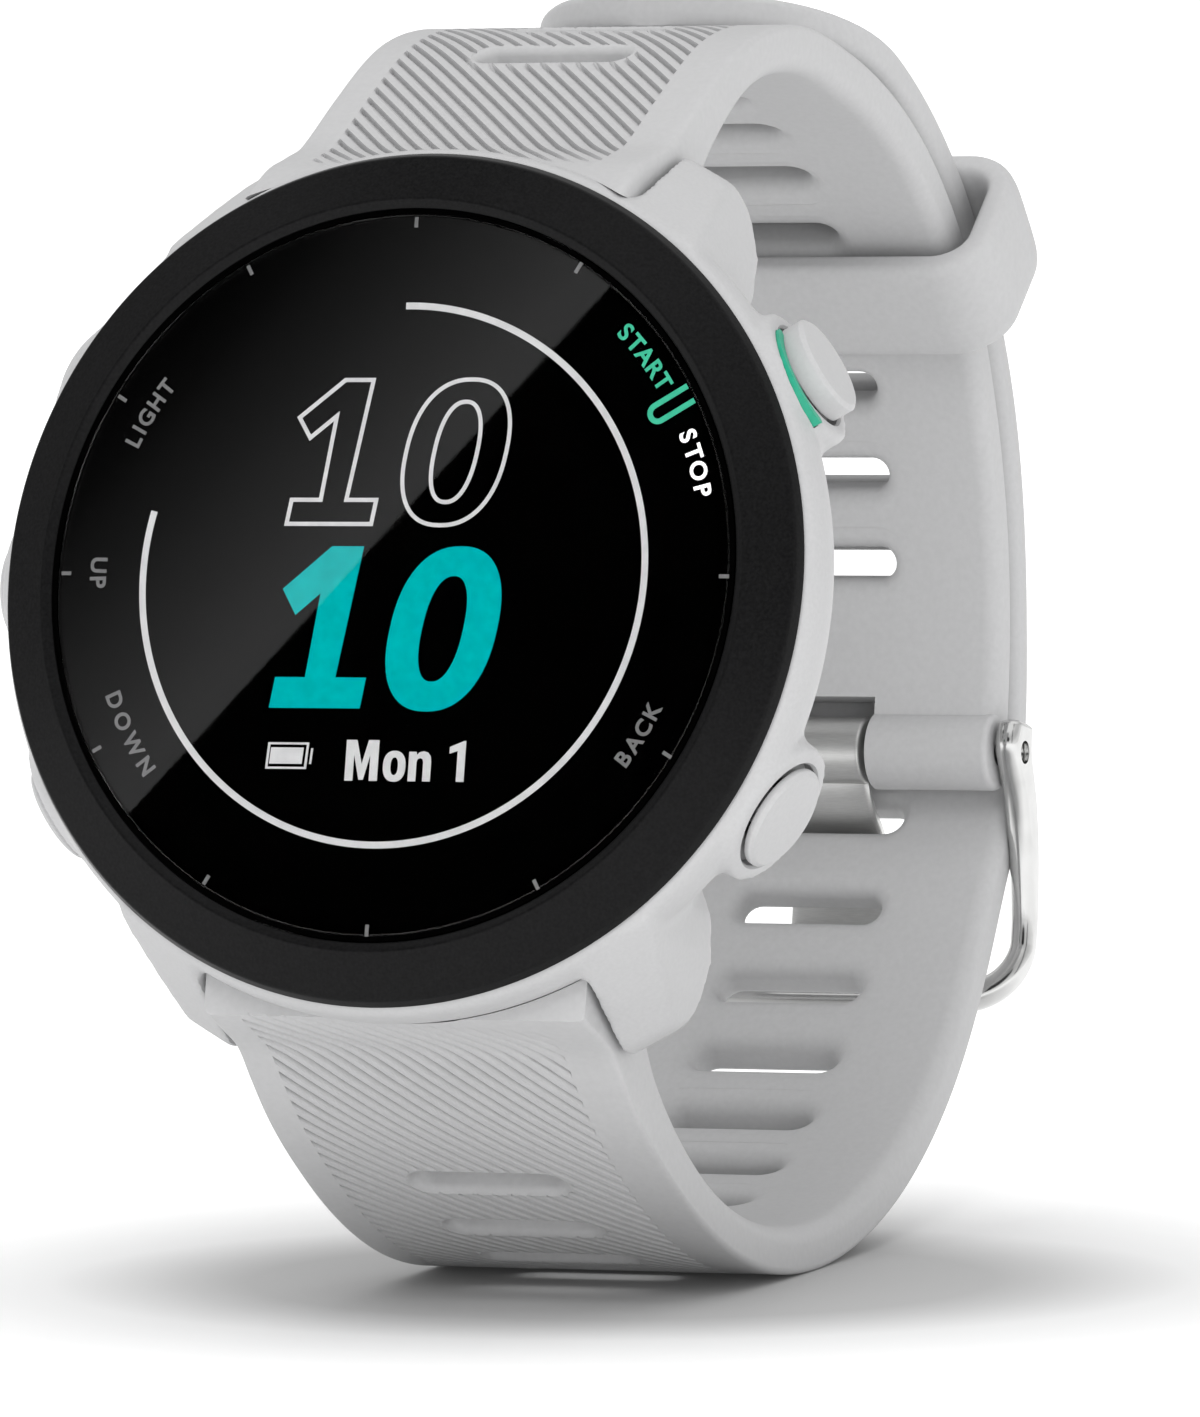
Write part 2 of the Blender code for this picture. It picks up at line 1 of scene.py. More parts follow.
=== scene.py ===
"""Looks of the GPS running watch: fine meshes, materials, light, floor and camera.

Lengths are in millimetres in the watch's own axes, as in the CAD: X towards 3 o'clock, Y from the
dial into the watch, Z towards 12 o'clock, origin at the centre of the dial. WATCH carries them to
the stand, where the watch leans back on its strap.
"""

from bisect import bisect_right
from math import ceil, copysign, cos, degrees, floor, hypot, pi, radians, sin, sqrt, tan, tau

import bmesh
import bpy
from mathutils import Matrix, Vector


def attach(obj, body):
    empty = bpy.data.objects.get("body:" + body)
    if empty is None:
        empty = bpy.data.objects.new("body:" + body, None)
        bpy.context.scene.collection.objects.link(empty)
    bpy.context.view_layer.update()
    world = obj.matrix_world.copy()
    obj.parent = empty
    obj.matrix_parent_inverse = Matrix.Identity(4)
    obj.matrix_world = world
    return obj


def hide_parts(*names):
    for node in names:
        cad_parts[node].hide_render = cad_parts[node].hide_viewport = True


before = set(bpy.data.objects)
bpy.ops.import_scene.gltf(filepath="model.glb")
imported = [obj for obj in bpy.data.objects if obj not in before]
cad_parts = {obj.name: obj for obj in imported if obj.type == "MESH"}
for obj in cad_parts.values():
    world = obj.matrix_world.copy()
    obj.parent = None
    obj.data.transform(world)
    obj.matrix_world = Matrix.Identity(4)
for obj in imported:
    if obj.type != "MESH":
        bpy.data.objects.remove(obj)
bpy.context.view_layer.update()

MM = 0.001
LEAN = radians(14.0)
STAND = Vector((0.4, -28.258, 37.056))
WATCH = Matrix.Translation(STAND * MM) @ Matrix.Rotation(-LEAN, 4, "X")

# The strap loop
LOOP_Y = 29.0
LOOP_Z = 0.3
SLOT_PITCH = 9.6
SLOT_HALF_LENGTH = 4.0
SLOT_HALF_HEIGHT = 0.8
SLOT_OUTER_FILLET = 0.48
SLOT_INNER_FILLET = 0.95
EDGE_OUTER_FILLET = 0.35
EDGE_INNER_FILLET = 0.9

# Outer face of each strap: angle about the loop line, radius, thickness, half width.
UPPER_PATH = (
    (158, 33.3, 5.6, 10.0), (149, 33.3, 5.6, 10.0), (141, 32.3, 5.4, 10.0), (137.2, 31.4, 5.0, 10.0),
    (133, 30.65, 4.2, 10.0), (124, 30.8, 3.0, 10.0), (112, 31.7, 2.5, 10.0), (100, 31.8, 2.4, 10.0),
    (88, 31.3, 2.4, 10.0), (64, 31.1, 2.4, 10.0), (50, 30.8, 2.4, 10.0), (36, 30.1, 2.3, 9.9),
    (14, 29.4, 2.1, 9.8), (1, 29.1, 2.1, 9.8),
)
LOWER_PATH = (
    (-158, 34.4, 6.9, 10.0), (-149, 34.6, 6.9, 10.0), (-144, 34.2, 6.7, 10.0), (-140, 33.0, 6.0, 10.0),
    (-136.5, 31.75, 5.2, 10.0), (-133.4, 30.85, 4.5, 10.0), (-129, 30.6, 3.6, 10.0), (-124, 30.5, 3.0, 10.0),
    (-112, 30.2, 2.4, 10.0), (-88, 30.35, 2.4, 10.0), (-64, 30.3, 2.4, 10.0), (-40, 30.35, 2.4, 10.0),
    (-22, 30.3, 2.3, 10.0), (-13, 30.6, 2.2, 9.9), (-6, 31.6, 2.1, 9.8), (1, 32.35, 2.1, 9.6),
    (14, 32.9, 2.1, 9.4), (36, 33.75, 2.1, 9.4), (58, 33.95, 2.0, 9.4), (80, 33.9, 1.9, 9.4),
    (93.5, 33.9, 1.7, 9.4),
)
UPPER_SLOTS = [19.7 + SLOT_PITCH * i for i in range(11)]
LOWER_SLOTS = [-113.4 + SLOT_PITCH * i for i in range(11)]
TONGUE_SLOT = -7.4
TAIL_SLOTS = [18.2 + SLOT_PITCH * i for i in range(7)]
TAIL_TIP_LENGTH = 11.0

# Ribs of the straps: slanted grooves, steep on one side.
RIB_PITCH = 1.045
RIB_SLANT = 1.12
UPPER_RIB_DEPTH = 0.36
LOWER_RIB_DEPTH = 0.55
RIB_LEFT = -8.1
RIB_RIGHT = 7.35
RIB_PROFILE = ((0.0, 0.0), (0.07, 1.0), (0.21, 0.95), (0.37, 0.22), (0.55, 0.0), (0.8, 0.0))
RIB_RIM = 0.5
UPPER_RIBS_END = 60.0
LOWER_RIBS_END = -45.0

# Beside the case the ribs fade in. Upper: angle, and the length that it takes. Lower: the two angles
# between which it happens, at the left and the right edge.
UPPER_RIBS_START = 134.5
UPPER_RIBS_FADE = 3.5
LOWER_RIBS_LEFT = (-141, -137)
LOWER_RIBS_RIGHT = (-138, -126)
SLANT_FADE = 26.0
RIB_REACH = RIB_SLANT * 10 + 3

# Case. The strap's room between two lugs starts at GAP_Y behind the dial and GAP_Z from its centre.
CASE_RADIUS = 21.4
LUG_INNER = 10.3
GAP_Y = 6.2
GAP_Z = 17.4
SPRING_BAR = (8.7, 19.9)
SPRING_BAR_RADIUS = 0.75
BARREL_RADIUS = 2.15
CASE_VOXEL = 0.23

# Buttons: name, angle from 3 o'clock, outer face distance from the dial axis, cap radius.
BUTTONS = (
    ("start", 29.6, 22.85, 2.5),
    ("back", -29.8, 22.1, 2.65),
    ("up", 180.0, 22.2, 2.65),
    ("light", 150.0, 22.2, 2.65),
    ("down", 210.0, 22.2, 2.65),
)
BUTTON_Y = 5.5
BOSS_WALL = 1.05
SEAT_GAP = 0.17
ACCENT_ANGLE = 28.3

# Back: screws, and charging contacts in a row.
SCREW_CIRCLE = 14.9
SCREWS = [
    (SCREW_CIRCLE * cos(turn), SCREW_CIRCLE * sin(turn))
    for turn in (radians(45 + 90 * i) for i in range(4))
]
CONTACT_PITCH = 1.8
CONTACT_Z = -12.8

# Buckle: every hole round the pin has its own clearance.
PIN = (56.9, 0.2)
PIN_RADIUS = 0.5
KNUCKLE_RADIUS = 2.0
FAR_BAR = (58.8, -12.3)
FORK_HALF_WIDTH = 3.1
ARM_X = 10.61
ARM_HALF = 0.65
BOW_CORNER = 2.8
TONGUE_HALF_WIDTH = 2.65
TONGUE_HALF_DEPTH = 0.35

# Keeper: place round the loop, inner and outer radius of its middle line, half width, corner, and
# the half thickness and half width of its band.
KEEPER_ANGLE = 51.7
KEEPER_LOW = 27.15
KEEPER_HIGH = 35.0
KEEPER_HALF = 11.6
KEEPER_CORNER = 2.3
KEEPER_BAND = (0.85, 3.0)

# Dial
GLASS_FRONT = -0.05
GLASS_BACK = 0.2
PRINT_FRONT = 0.28
MARK_FRONT = 0.22
MARK_BACK = 0.26
LETTER_WIDTHS = {"I": 0.5, "L": 0.85, "T": 0.9, "W": 1.3, "O": 1.1}
LETTER_WEIGHT = 0.028
DIGIT_SLANT = 0.16

# Ring and hour marks, by their radii. The start sign stands where the mark of one hour would be.
SECONDS_RING = (13.31, 12.98)
HOUR_MARK = (17.0, 17.5)
HOUR_MARK_HALF = 0.09
START_HOUR = 2

# Points nearer than this are one point: in a new mesh, and after a cut. Metres.
SAME_PLACE = 1e-7
CUT_CRUMB = 2e-6


# ---------------------------------------------------------------- small helpers


def arc(centre, radius, start, end, steps):
    """Points of a circular arc in a plane, angles in degrees, both ends included."""
    points = []
    for i in range(steps + 1):
        turn = radians(start + (end - start) * i / steps)
        points.append((centre[0] + radius * cos(turn), centre[1] + radius * sin(turn)))
    return points


def rounded(outline, radii, steps=5):
    """A closed outline with its corners filleted: one radius per point, 0 keeps it sharp."""
    made = []
    count = len(outline)
    for i, (point, radius) in enumerate(zip(outline, radii)):
        here = Vector(point)
        if radius <= 0:
            made.append((here.x, here.y))
            continue
        before = (Vector(outline[i - 1]) - here)
        after = (Vector(outline[(i + 1) % count]) - here)
        half = before.angle(after) / 2
        reach = min(radius / tan(half), 0.48 * before.length, 0.48 * after.length)
        start = here + before.normalized() * reach
        end = here + after.normalized() * reach
        for k in range(steps + 1):
            part = k / steps
            bend = (1 - part) ** 2 * start + 2 * part * (1 - part) * here + part**2 * end
            made.append((bend.x, bend.y))
    return made


def add_object(name, data, matrix=WATCH):
    """A new object in the scene."""
    obj = bpy.data.objects.new(name, data)
    obj.matrix_world = matrix
    bpy.context.scene.collection.objects.link(obj)
    return obj


def clean_mesh(mesh):
    """Joins points in the same place and turns the faces out."""
    work = bmesh.new()
    work.from_mesh(mesh)
    bmesh.ops.remove_doubles(work, verts=work.verts, dist=SAME_PLACE)
    bmesh.ops.recalc_face_normals(work, faces=work.faces)
    work.to_mesh(mesh)
    work.free()


def mesh_object(name, points, faces):
    """A mesh object in the watch's axes, with its faces pointing out."""
    mesh = bpy.data.meshes.new(name)
    mesh.from_pydata([Vector(p) * MM for p in points], [], faces)
    clean_mesh(mesh)
    return add_object(name, mesh)


def skin(name, loops, closed=False):
    """Skins a row of equal rings of points, capped at both ends unless it closes on itself."""
    count = len(loops[0])
    points = [p for loop in loops for p in loop]
    faces = []
    last = len(loops) if closed else len(loops) - 1
    for i in range(last):
        a = i * count
        b = (i + 1) % len(loops) * count
        for j in range(count):
            k = (j + 1) % count
            faces.append((a + j, a + k, b + k, b + j))
    if not closed:
        faces.append(tuple(range(count)))
        faces.append(tuple(len(points) - count + j for j in range(count)))
    return mesh_object(name, points, faces)


def turned(name, profile, steps=192, centre=(0, 0, 0), axis=(0, 1, 0)):
    """Turns a closed (radius, height) outline about an axis through a point."""
    up = Vector(axis).normalized()
    side = Vector((0, 0, 1)).cross(up)
    if side.length < 1e-6:
        side = Vector((1, 0, 0))
    side.normalize()
    other = up.cross(side)
    middle = Vector(centre)
    points = []
    for i in range(steps):
        turn = tau * i / steps
        ray = cos(turn) * side + sin(turn) * other
        points += [middle + ray * radius + up * height for radius, height in profile]
    count = len(profile)
    faces = []
    for i in range(steps):
        a = i * count
        b = (i + 1) % steps * count
        for j in range(count):
            k = (j + 1) % count
            flat_j = profile[j][0] < 1e-6
            flat_k = profile[k][0] < 1e-6
            if flat_j and flat_k:
                continue
            if flat_j:
                faces.append((a + j, a + k, b + k))
            elif flat_k:
                faces.append((a + j, a + k, b + j))
            else:
                faces.append((a + j, a + k, b + k, b + j))
    return mesh_object(name, points, faces)


def rod(name, start, end, radius, steps=48, fillet=0.0):
    """A round bar between two points, with its end edges rounded."""
    a, b = Vector(start), Vector(end)
    length = (b - a).length
    profile = [(0, 0), (radius, 0), (radius, length), (0, length)]
    return turned(name, rounded(profile, (0, fillet, fillet, 0)), steps, a, b - a)


def block(name, low, high):
    """A box between two opposite corners, only used to cut."""
    x0, y0, z0 = low
    x1, y1, z1 = high
    first = [(x0, y0, z0), (x1, y0, z0), (x1, y0, z1), (x0, y0, z1)]
    second = [(x0, y1, z0), (x1, y1, z0), (x1, y1, z1), (x0, y1, z1)]
    return skin(name, [first, second])


def joined(name, objects):
    """Several separate closed meshes as one object."""
    work = bmesh.new()
    for obj in objects:
        work.from_mesh(obj.data)
    mesh = bpy.data.meshes.new(name)
    work.to_mesh(mesh)
    work.free()
    for obj in objects:
        bpy.data.objects.remove(obj)
    return add_object(name, mesh)


def boolean(target, cutter, operation="DIFFERENCE"):
    """Adds an exact cut, or another operation, that settle applies."""
    step = target.modifiers.new(operation.title(), "BOOLEAN")
    step.operation = operation
    step.solver = "EXACT"
    step.object = cutter


def settle(obj):
    """Applies the modifiers of an object and removes the cutters that they used."""
    graph = bpy.context.evaluated_depsgraph_get()
    cutters = {m.object for m in obj.modifiers if m.type == "BOOLEAN"}
    mesh = bpy.data.meshes.new_from_object(obj.evaluated_get(graph))
    obj.modifiers.clear()
    obj.data = mesh
    for cutter in cutters:
        bpy.data.objects.remove(cutter)
    return obj


def weld(obj):
    """Joins the points that a cut left almost on top of each other."""
    work = bmesh.new()
    work.from_mesh(obj.data)
    bmesh.ops.remove_doubles(work, verts=work.verts, dist=CUT_CRUMB)
    bmesh.ops.dissolve_degenerate(work, edges=work.edges, dist=CUT_CRUMB / 2)
    work.to_mesh(obj.data)
    work.free()
    return obj


def bake(obj):
    """Moves a mesh from the watch's axes to the stand, so that its own box is upright."""
    obj.data.transform(obj.matrix_world)
    obj.matrix_world = Matrix.Identity(4)


def rest_points(obj, angle=32.0):
    """Smooth shading with sharp edges over an angle, and normals that keep flat faces flat."""
    obj.data.shade_smooth()
    obj.data.set_sharp_from_angle(angle=radians(angle))
    weigh = obj.modifiers.new("Normals", "WEIGHTED_NORMAL")
    weigh.keep_sharp = True
    return settle(obj)


def finish_piece(obj, slot, body, *nodes, angle=32.0, material=None):
    """Gives a piece its shading, material, body, slot and the CAD nodes that it stands for."""
    rest_points(obj, angle)
    bake(obj)
    obj.data.materials.clear()
    obj.data.materials.append(material or MATERIALS[slot])
    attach(obj, body)
    if nodes:
        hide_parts(*nodes)


# ---------------------------------------------------------------- materials


def add_node(tree, kind, **values):
    """A new shader node with some inputs set: an underscore in a name stands for a blank."""
    made = tree.nodes.new("ShaderNode" + kind)
    for socket, value in values.items():
        made.inputs[socket.replace("_", " ")].default_value = value
    return made


def first_node(tree, kind):
    """The first node of a type."""
    return next(node for node in tree.nodes if node.type == kind)


def wire(tree, *links):
    """Links nodes, each link as (node, output, node, input)."""
    for source, output, target, socket in links:
        tree.links.new(source.outputs[output], target.inputs[socket])


def grainy(name, dark, light, rough, metallic=0.0, grain=2500.0, bump=0.1, depth=0.02,
           stretch=(1, 1, 1), gloss=0.5):
    """A material whose colour, roughness and surface all follow one fine noise."""
    made = bpy.data.materials.new(name)
    made.use_nodes = True
    tree = made.node_tree
    shader = tree.nodes["Principled BSDF"]
    place = add_node(tree, "TexCoord")
    fit = add_node(tree, "Mapping", Scale=stretch)
    noise = add_node(tree, "TexNoise", Scale=grain, Detail=3.0)
    ramp = add_node(tree, "ValToRGB")
    for element, position, color in zip(ramp.color_ramp.elements, (0.3, 0.7), (dark, light)):
        element.position = position
        element.color = (*color, 1)
    spread = add_node(tree, "MapRange", To_Min=rough[0], To_Max=rough[1])
    relief = add_node(tree, "Bump", Strength=bump, Distance=depth * MM)
    wire(tree, (place, "Object", fit, "Vector"), (fit, "Vector", noise, "Vector"),
         (noise, "Fac", ramp, "Fac"), (noise, "Fac", spread, "Value"), (noise, "Fac", relief, "Height"),
         (ramp, "Color", shader, "Base Color"), (spread, "Result", shader, "Roughness"),
         (relief, "Normal", shader, "Normal"))
    shader.inputs["Metallic"].default_value = metallic
    shader.inputs["Specular IOR Level"].default_value = gloss
    return made


def ink_with_painted_glow(name, dark, light, strength):
    """A mark with a painted glow: a little emission that stands in for the light reaching it behind the
    glass.
    """
    made = grainy(name, dark, light, (0.5, 0.6), grain=1500.0, bump=0.02, gloss=0.0)
    tree = made.node_tree
    shader = tree.nodes["Principled BSDF"]
    wire(tree, (first_node(tree, "VALTORGB"), "Color", shader, "Emission Color"))
    shader.inputs["Emission Strength"].default_value = strength
    return made


def glass(name):
    """Clear glass with a faint unevenness."""
    made = grainy(name, (0.97, 0.97, 0.98), (1.0, 1.0, 1.0), (0.0, 0.015), grain=300.0, bump=0.0)
    shader = made.node_tree.nodes["Principled BSDF"]
    shader.inputs["Transmission Weight"].default_value = 1.0
    shader.inputs["IOR"].default_value = 1.3
    return made


def board_material(name):
    """Green lacquer over copper tracks."""
    made = grainy(name, (0.006, 0.075, 0.03), (0.01, 0.11, 0.045), (0.3, 0.45), grain=900.0, bump=0.1)
    tree = made.node_tree
    black = (0, 0, 0, 1)
    tracks = add_node(tree, "TexBrick", Scale=260.0, Mortar_Size=0.035, Color1=black, Color2=black,
                      Mortar=(1, 1, 1, 1))
    blend = add_node(tree, "Mix")
    blend.data_type = "RGBA"
    blend.inputs["B"].default_value = (0.03, 0.2, 0.07, 1)
    wire(tree, (first_node(tree, "TEX_COORD"), "Object", tracks, "Vector"),
         (tracks, "Color", blend, "Factor"), (first_node(tree, "VALTORGB"), "Color", blend, "A"),
         (blend, "Result", tree.nodes["Principled BSDF"], "Base Color"))
    return made


# Slot materials: dark and light tone, roughness range, and what differs from an ordinary grain.
LOOKS = {
    "silicone": ((0.485, 0.485, 0.49), (0.515, 0.515, 0.52), (0.5, 0.62), {"grain": 3000.0, "bump": 0.12}),
    "case_polymer": ((0.475, 0.475, 0.48), (0.505, 0.505, 0.51), (0.42, 0.52),
                     {"grain": 5000.0, "bump": 0.15, "depth": 0.012}),
    "bezel_black": ((0.004, 0.004, 0.0042), (0.008, 0.008, 0.0083), (0.3, 0.42),
                    {"grain": 6500.0, "bump": 0.35, "gloss": 0.1}),
    "steel": ((0.6, 0.6, 0.595), (0.68, 0.68, 0.675), (0.12, 0.2),
              {"metallic": 1.0, "grain": 700.0, "bump": 0.03}),
    "brushed": ((0.68, 0.68, 0.67), (0.76, 0.76, 0.75), (0.34, 0.44),
                {"metallic": 1.0, "grain": 1600.0, "bump": 0.12, "depth": 0.004, "stretch": (1, 9, 9)}),
    "green": ((0.012, 0.34, 0.2), (0.02, 0.4, 0.25), (0.35, 0.45), {"grain": 3000.0, "bump": 0.05}),
    "cell": ((0.45, 0.46, 0.48), (0.6, 0.61, 0.63), (0.25, 0.4),
             {"metallic": 0.6, "grain": 350.0, "bump": 0.3, "depth": 0.05}),
    "gold": ((0.78, 0.56, 0.22), (0.9, 0.7, 0.34), (0.18, 0.3),
             {"metallic": 1.0, "grain": 900.0, "bump": 0.04}),
    "dark_polymer": ((0.0015, 0.0015, 0.0018), (0.003, 0.003, 0.0034), (0.35, 0.45),
                     {"grain": 4000.0, "bump": 0.05}),
    "rubber": ((0.018, 0.018, 0.019), (0.03, 0.03, 0.031), (0.6, 0.75), {"grain": 3500.0, "bump": 0.2}),
}
MATERIALS = {name: grainy(name, *tones, **grain) for name, (*tones, grain) in LOOKS.items()}
MATERIALS["glass"] = glass("glass")
MATERIALS["board"] = board_material("board")
PRINT_BLACK = grainy("print_black", (0.0003,) * 3, (0.0007,) * 3, (0.5, 0.6), grain=2000.0, bump=0.02,
                     gloss=0.0)
# Display and print inks: each glows a little, a painted light in place of the light that falls on them
# behind the glass.
INK = {
    "teal": ink_with_painted_glow("display_teal", (0.0, 0.36, 0.36), (0.0, 0.42, 0.42), 0.38),
    "pale": ink_with_painted_glow("display_pale", (0.46,) * 3, (0.52,) * 3, 0.62),
    "grey": ink_with_painted_glow("print_grey", (0.17,) * 3, (0.2,) * 3, 0.36),
    "green": ink_with_painted_glow("print_green", (0.04, 0.36, 0.22), (0.05, 0.4, 0.25), 0.7),
    "white": ink_with_painted_glow("print_white", (0.8,) * 3, (0.9,) * 3, 0.9),
}


# ---------------------------------------------------------------- strap surface


def ease(table, at, column):
    """Smooth value of one column of a path table at an angle."""
    rows = sorted(table)
    keys = [row[0] for row in rows]
    values = [row[column] for row in rows]
    if at <= keys[0]:
        return values[0]
    if at >= keys[-1]:
        return values[-1]
    i = bisect_right(keys, at) - 1
    span = keys[i + 1] - keys[i]
    part = (at - keys[i]) / span

    def slope(k):
        if 0 < k < len(keys) - 1:
            return (values[k + 1] - values[k - 1]) / (keys[k + 1] - keys[k - 1])
        if k == 0 and column == 1:
            return (values[1] - values[0]) / (keys[1] - keys[0])
        return 0.0

    a, b = slope(i) * span, slope(i + 1) * span
    p2, p3 = part * part, part**3
    start = (2 * p3 - 3 * p2 + 1) * values[i] + (p3 - 2 * p2 + part) * a
    return start + (3 * p2 - 2 * p3) * values[i + 1] + (p3 - p2) * b


def polar(angle, radius):
    """A point by its angle about the loop line and its distance from it."""
    turn = radians(angle)
    return Vector((0, LOOP_Y + radius * cos(turn), LOOP_Z + radius * sin(turn)))


def smooth(low, high, value):
    """0 below low, 1 above high, and a soft step between them."""
    part = min(1.0, max(0.0, (value - low) / (high - low)))
    return part * part * (3 - 2 * part)


class Track:
    """A strap's outer line by its length, straight on past both ends."""

    STEP = 0.25

    def __init__(self, table):
        self.table = table
        low, high = min(row[0] for row in table), max(row[0] for row in table)
        count = round((high - low) / self.STEP)
        self.angles = [low + (high - low) * i / count for i in range(count + 1)]
        self.points = [polar(angle, ease(table, angle, 1)) for angle in self.angles]
        self.lengths = [0.0]
        for a, b in zip(self.points, self.points[1:]):
            self.lengths.append(self.lengths[-1] + (b - a).length)
        self.whole = self.lengths[-1]
        self.outs = []
        for i in range(len(self.points)):
            before, after = self.points[max(i - 1, 0)], self.points[min(i + 1, count)]
            along = (after - before).normalized()
            self.outs.append(Vector((0, along.z, -along.y)))

    def length_at(self, angle):
        share = (angle - self.angles[0]) / (self.angles[-1] - self.angles[0]) * (len(self.angles) - 1)
        i = min(int(share), len(self.angles) - 2)
        part = share - i
        return self.lengths[i] * (1 - part) + self.lengths[i + 1] * part

    def at(self, length):
        """(point, outward normal, angle) at a length."""
        held = min(max(length, 0.0), self.whole)
        i = min(max(bisect_right(self.lengths, held) - 1, 0), len(self.lengths) - 2)
        part = (held - self.lengths[i]) / (self.lengths[i + 1] - self.lengths[i])
        point = self.points[i].lerp(self.points[i + 1], part)
        out = self.outs[i].lerp(self.outs[i + 1], part).normalized()
        along = Vector((0, -out.z, out.y))
        angle = self.angles[i] * (1 - part) + self.angles[i + 1] * part
        return point + along * (length - held), out, angle


def strap_columns():
    """Places across the outer face of a strap, finer over the slots and where the ribs end."""
    middle = [-5.2 + 0.26 * i for i in range(41)]
    left = [-9.65, -9.2, -8.7, RIB_LEFT - 0.05, RIB_LEFT + 0.03, -7.4, -6.7, -6.1, -5.6]
    right = [5.7, 6.3, 6.8, RIB_RIGHT - 0.05, RIB_RIGHT + 0.05, 7.9, 8.5, 9.1, 9.65]
    return left + middle + right


def slot_distance(x, along):
    """How far a point is outside a slot's outline, in the strap's surface."""
    straight = SLOT_HALF_LENGTH - SLOT_HALF_HEIGHT
    return hypot(max(abs(x) - straight, 0.0), along) - SLOT_HALF_HEIGHT


def rib_field(x, length, slots):
    """1 among the ribs, 0 on the slots with their rims and beside the ribbed part."""
    if not RIB_LEFT < x < RIB_RIGHT:
        return 0.0
    near = min(slot_distance(x, length - at) for at in slots)
    return smooth(RIB_RIM - 0.08, RIB_RIM + 0.1, near)


def strap_section(thick, half, columns):
    """(x, height) ring of a strap's cross-section: the outer columns, then round the inner face."""
    soft = min(EDGE_INNER_FILLET, thick * 0.42)
    outer = [(x / 10.0 * half, 0.0) for x in columns]
    reach = EDGE_OUTER_FILLET
    edge = arc((half - reach, -reach), reach, 60, 0, 3)
    corner = arc((half - soft, soft - thick), soft, 0, -90, 6)
    inner = [((half - soft) * (1 - i / 10), -thick) for i in range(1, 20)]
    left = [(-x, h) for x, h in reversed(edge + corner)]
    return outer + edge + corner + inner + left


def strap_grid(name, track, rows, fade, mask, half_at, depth):
    """The whole strap as one skin whose rows follow the slanted ribs."""
    columns = strap_columns()
    count = len(columns)
    loops = []
    for row, height in rows:
        thick, half = ease(track.table, track.at(row)[2], 2), half_at(row)
        section = strap_section(thick, half, columns)
        slant = RIB_SLANT * fade(row)
        loop = []
        for i, (x, t) in enumerate(section):
            length = row + slant * x
            place, up, turn = track.at(length)
            local = ease(track.table, turn, 2)
            if i < count:
                offset = up * (-height * depth * mask(x, length))
            else:
                offset = polar(turn, t * local / thick) - polar(turn, 0.0)
            loop.append(place + Vector((x, 0, 0)) + offset)
        loops.append(loop)
    return skin(name, loops)


def slot_pegs(name, track, angles):
    """Stadium holes through a strap with rounded mouths on both faces, as one mesh."""
    pegs = []
    straight = SLOT_HALF_LENGTH - SLOT_HALF_HEIGHT
    for n, angle in enumerate(angles):
        face, out, turn = track.at(track.length_at(angle))
        along = out.cross(Vector((1, 0, 0)))
        thick = ease(track.table, turn, 2)
        levels = [(1.2, 0.75 * SLOT_OUTER_FILLET)]
        for i in range(5):
            part = radians(18 + 18 * i)
            ring = SLOT_OUTER_FILLET
            levels.append((-ring * (1 - cos(part)), ring * (1 - sin(part))))
        for i in range(8):
            part = radians(90 - 12 * i)
            ring = SLOT_INNER_FILLET
            levels.append((-thick + ring * (1 - cos(part)), ring * (1 - sin(part))))
        levels.append((-thick - 0.06, SLOT_INNER_FILLET + 0.2))
        levels.append((-thick - 0.9, SLOT_INNER_FILLET + 0.2))
        loops = []
        for height, grow in levels:
            radius = SLOT_HALF_HEIGHT + grow
            right = arc((straight, 0), radius, -90, 90, 12)
            left = arc((-straight, 0), radius, 90, 270, 12)
            centre = face + out * height
            loops.append([centre + Vector((x, 0, 0)) + along * s for x, s in right + left])
        pegs.append(skin(f"{name}_{n}", loops))
    return joined(name, pegs)


def case_room(name):
    """The room that the case takes out of a strap end."""
    profile = [(0, -30), (21.15, -30), (21.15, -2), (21.3, 2.1), (21.35, 3.2), (21.3, 4.2)]
    profile += [(21.0, 5.3), (20.5, 6.45), (0, 6.45)]
    return turned(name, profile, 256)


def bar_sleeve(strap, sign, tag):
    """The round end of a strap around its spring bar, and the holes for the bar and its lever."""
    y, z = SPRING_BAR[0], sign * SPRING_BAR[1]
    boolean(strap, rod(f"sleeve_{tag}", (-9.93, y, z), (9.93, y, z), BARREL_RADIUS, 64, 0.3), "UNION")
    boolean(strap, case_room(f"case_room_{tag}"))
    low, high = sorted((-30 * sign, sign * (GAP_Z + 0.25)))
    boolean(strap, block(f"wall_room_{tag}", (-20, -30, low), (20, 16, high)))
    if sign < 0:
        boolean(strap, block(f"front_room_{tag}", (-21, -120, -120), (21, 4.0, 120)))
    boolean(strap, rod(f"sleeve_hole_{tag}", (-12, y, z), (12, y, z), SPRING_BAR_RADIUS + 0.12))
    window = (-3.6, -1.0) if sign > 0 else (1.0, 3.6)
    low, high = sorted((sign * 15.0, sign * (SPRING_BAR[1] + 0.8)))
    boolean(strap, block(f"lever_window_{tag}", (window[0], y - 0.55, low), (window[1], 14, high)))


def rib_rows(start, end):
    """Row places from start to end that fall on the ribs' own profile, with each row's depth."""
    rows = []
    for i in range(ceil(start / RIB_PITCH), floor(end / RIB_PITCH)):
        rows += [((i + part) * RIB_PITCH, depth) for part, depth in RIB_PROFILE]
    return rows


def plain_rows(start, end):
    """Row places about a millimetre apart, with no depth."""
    count = max(2, round(abs(end - start)))
    return [(start + (end - start) * i / count, 0.0) for i in range(count + 1)]


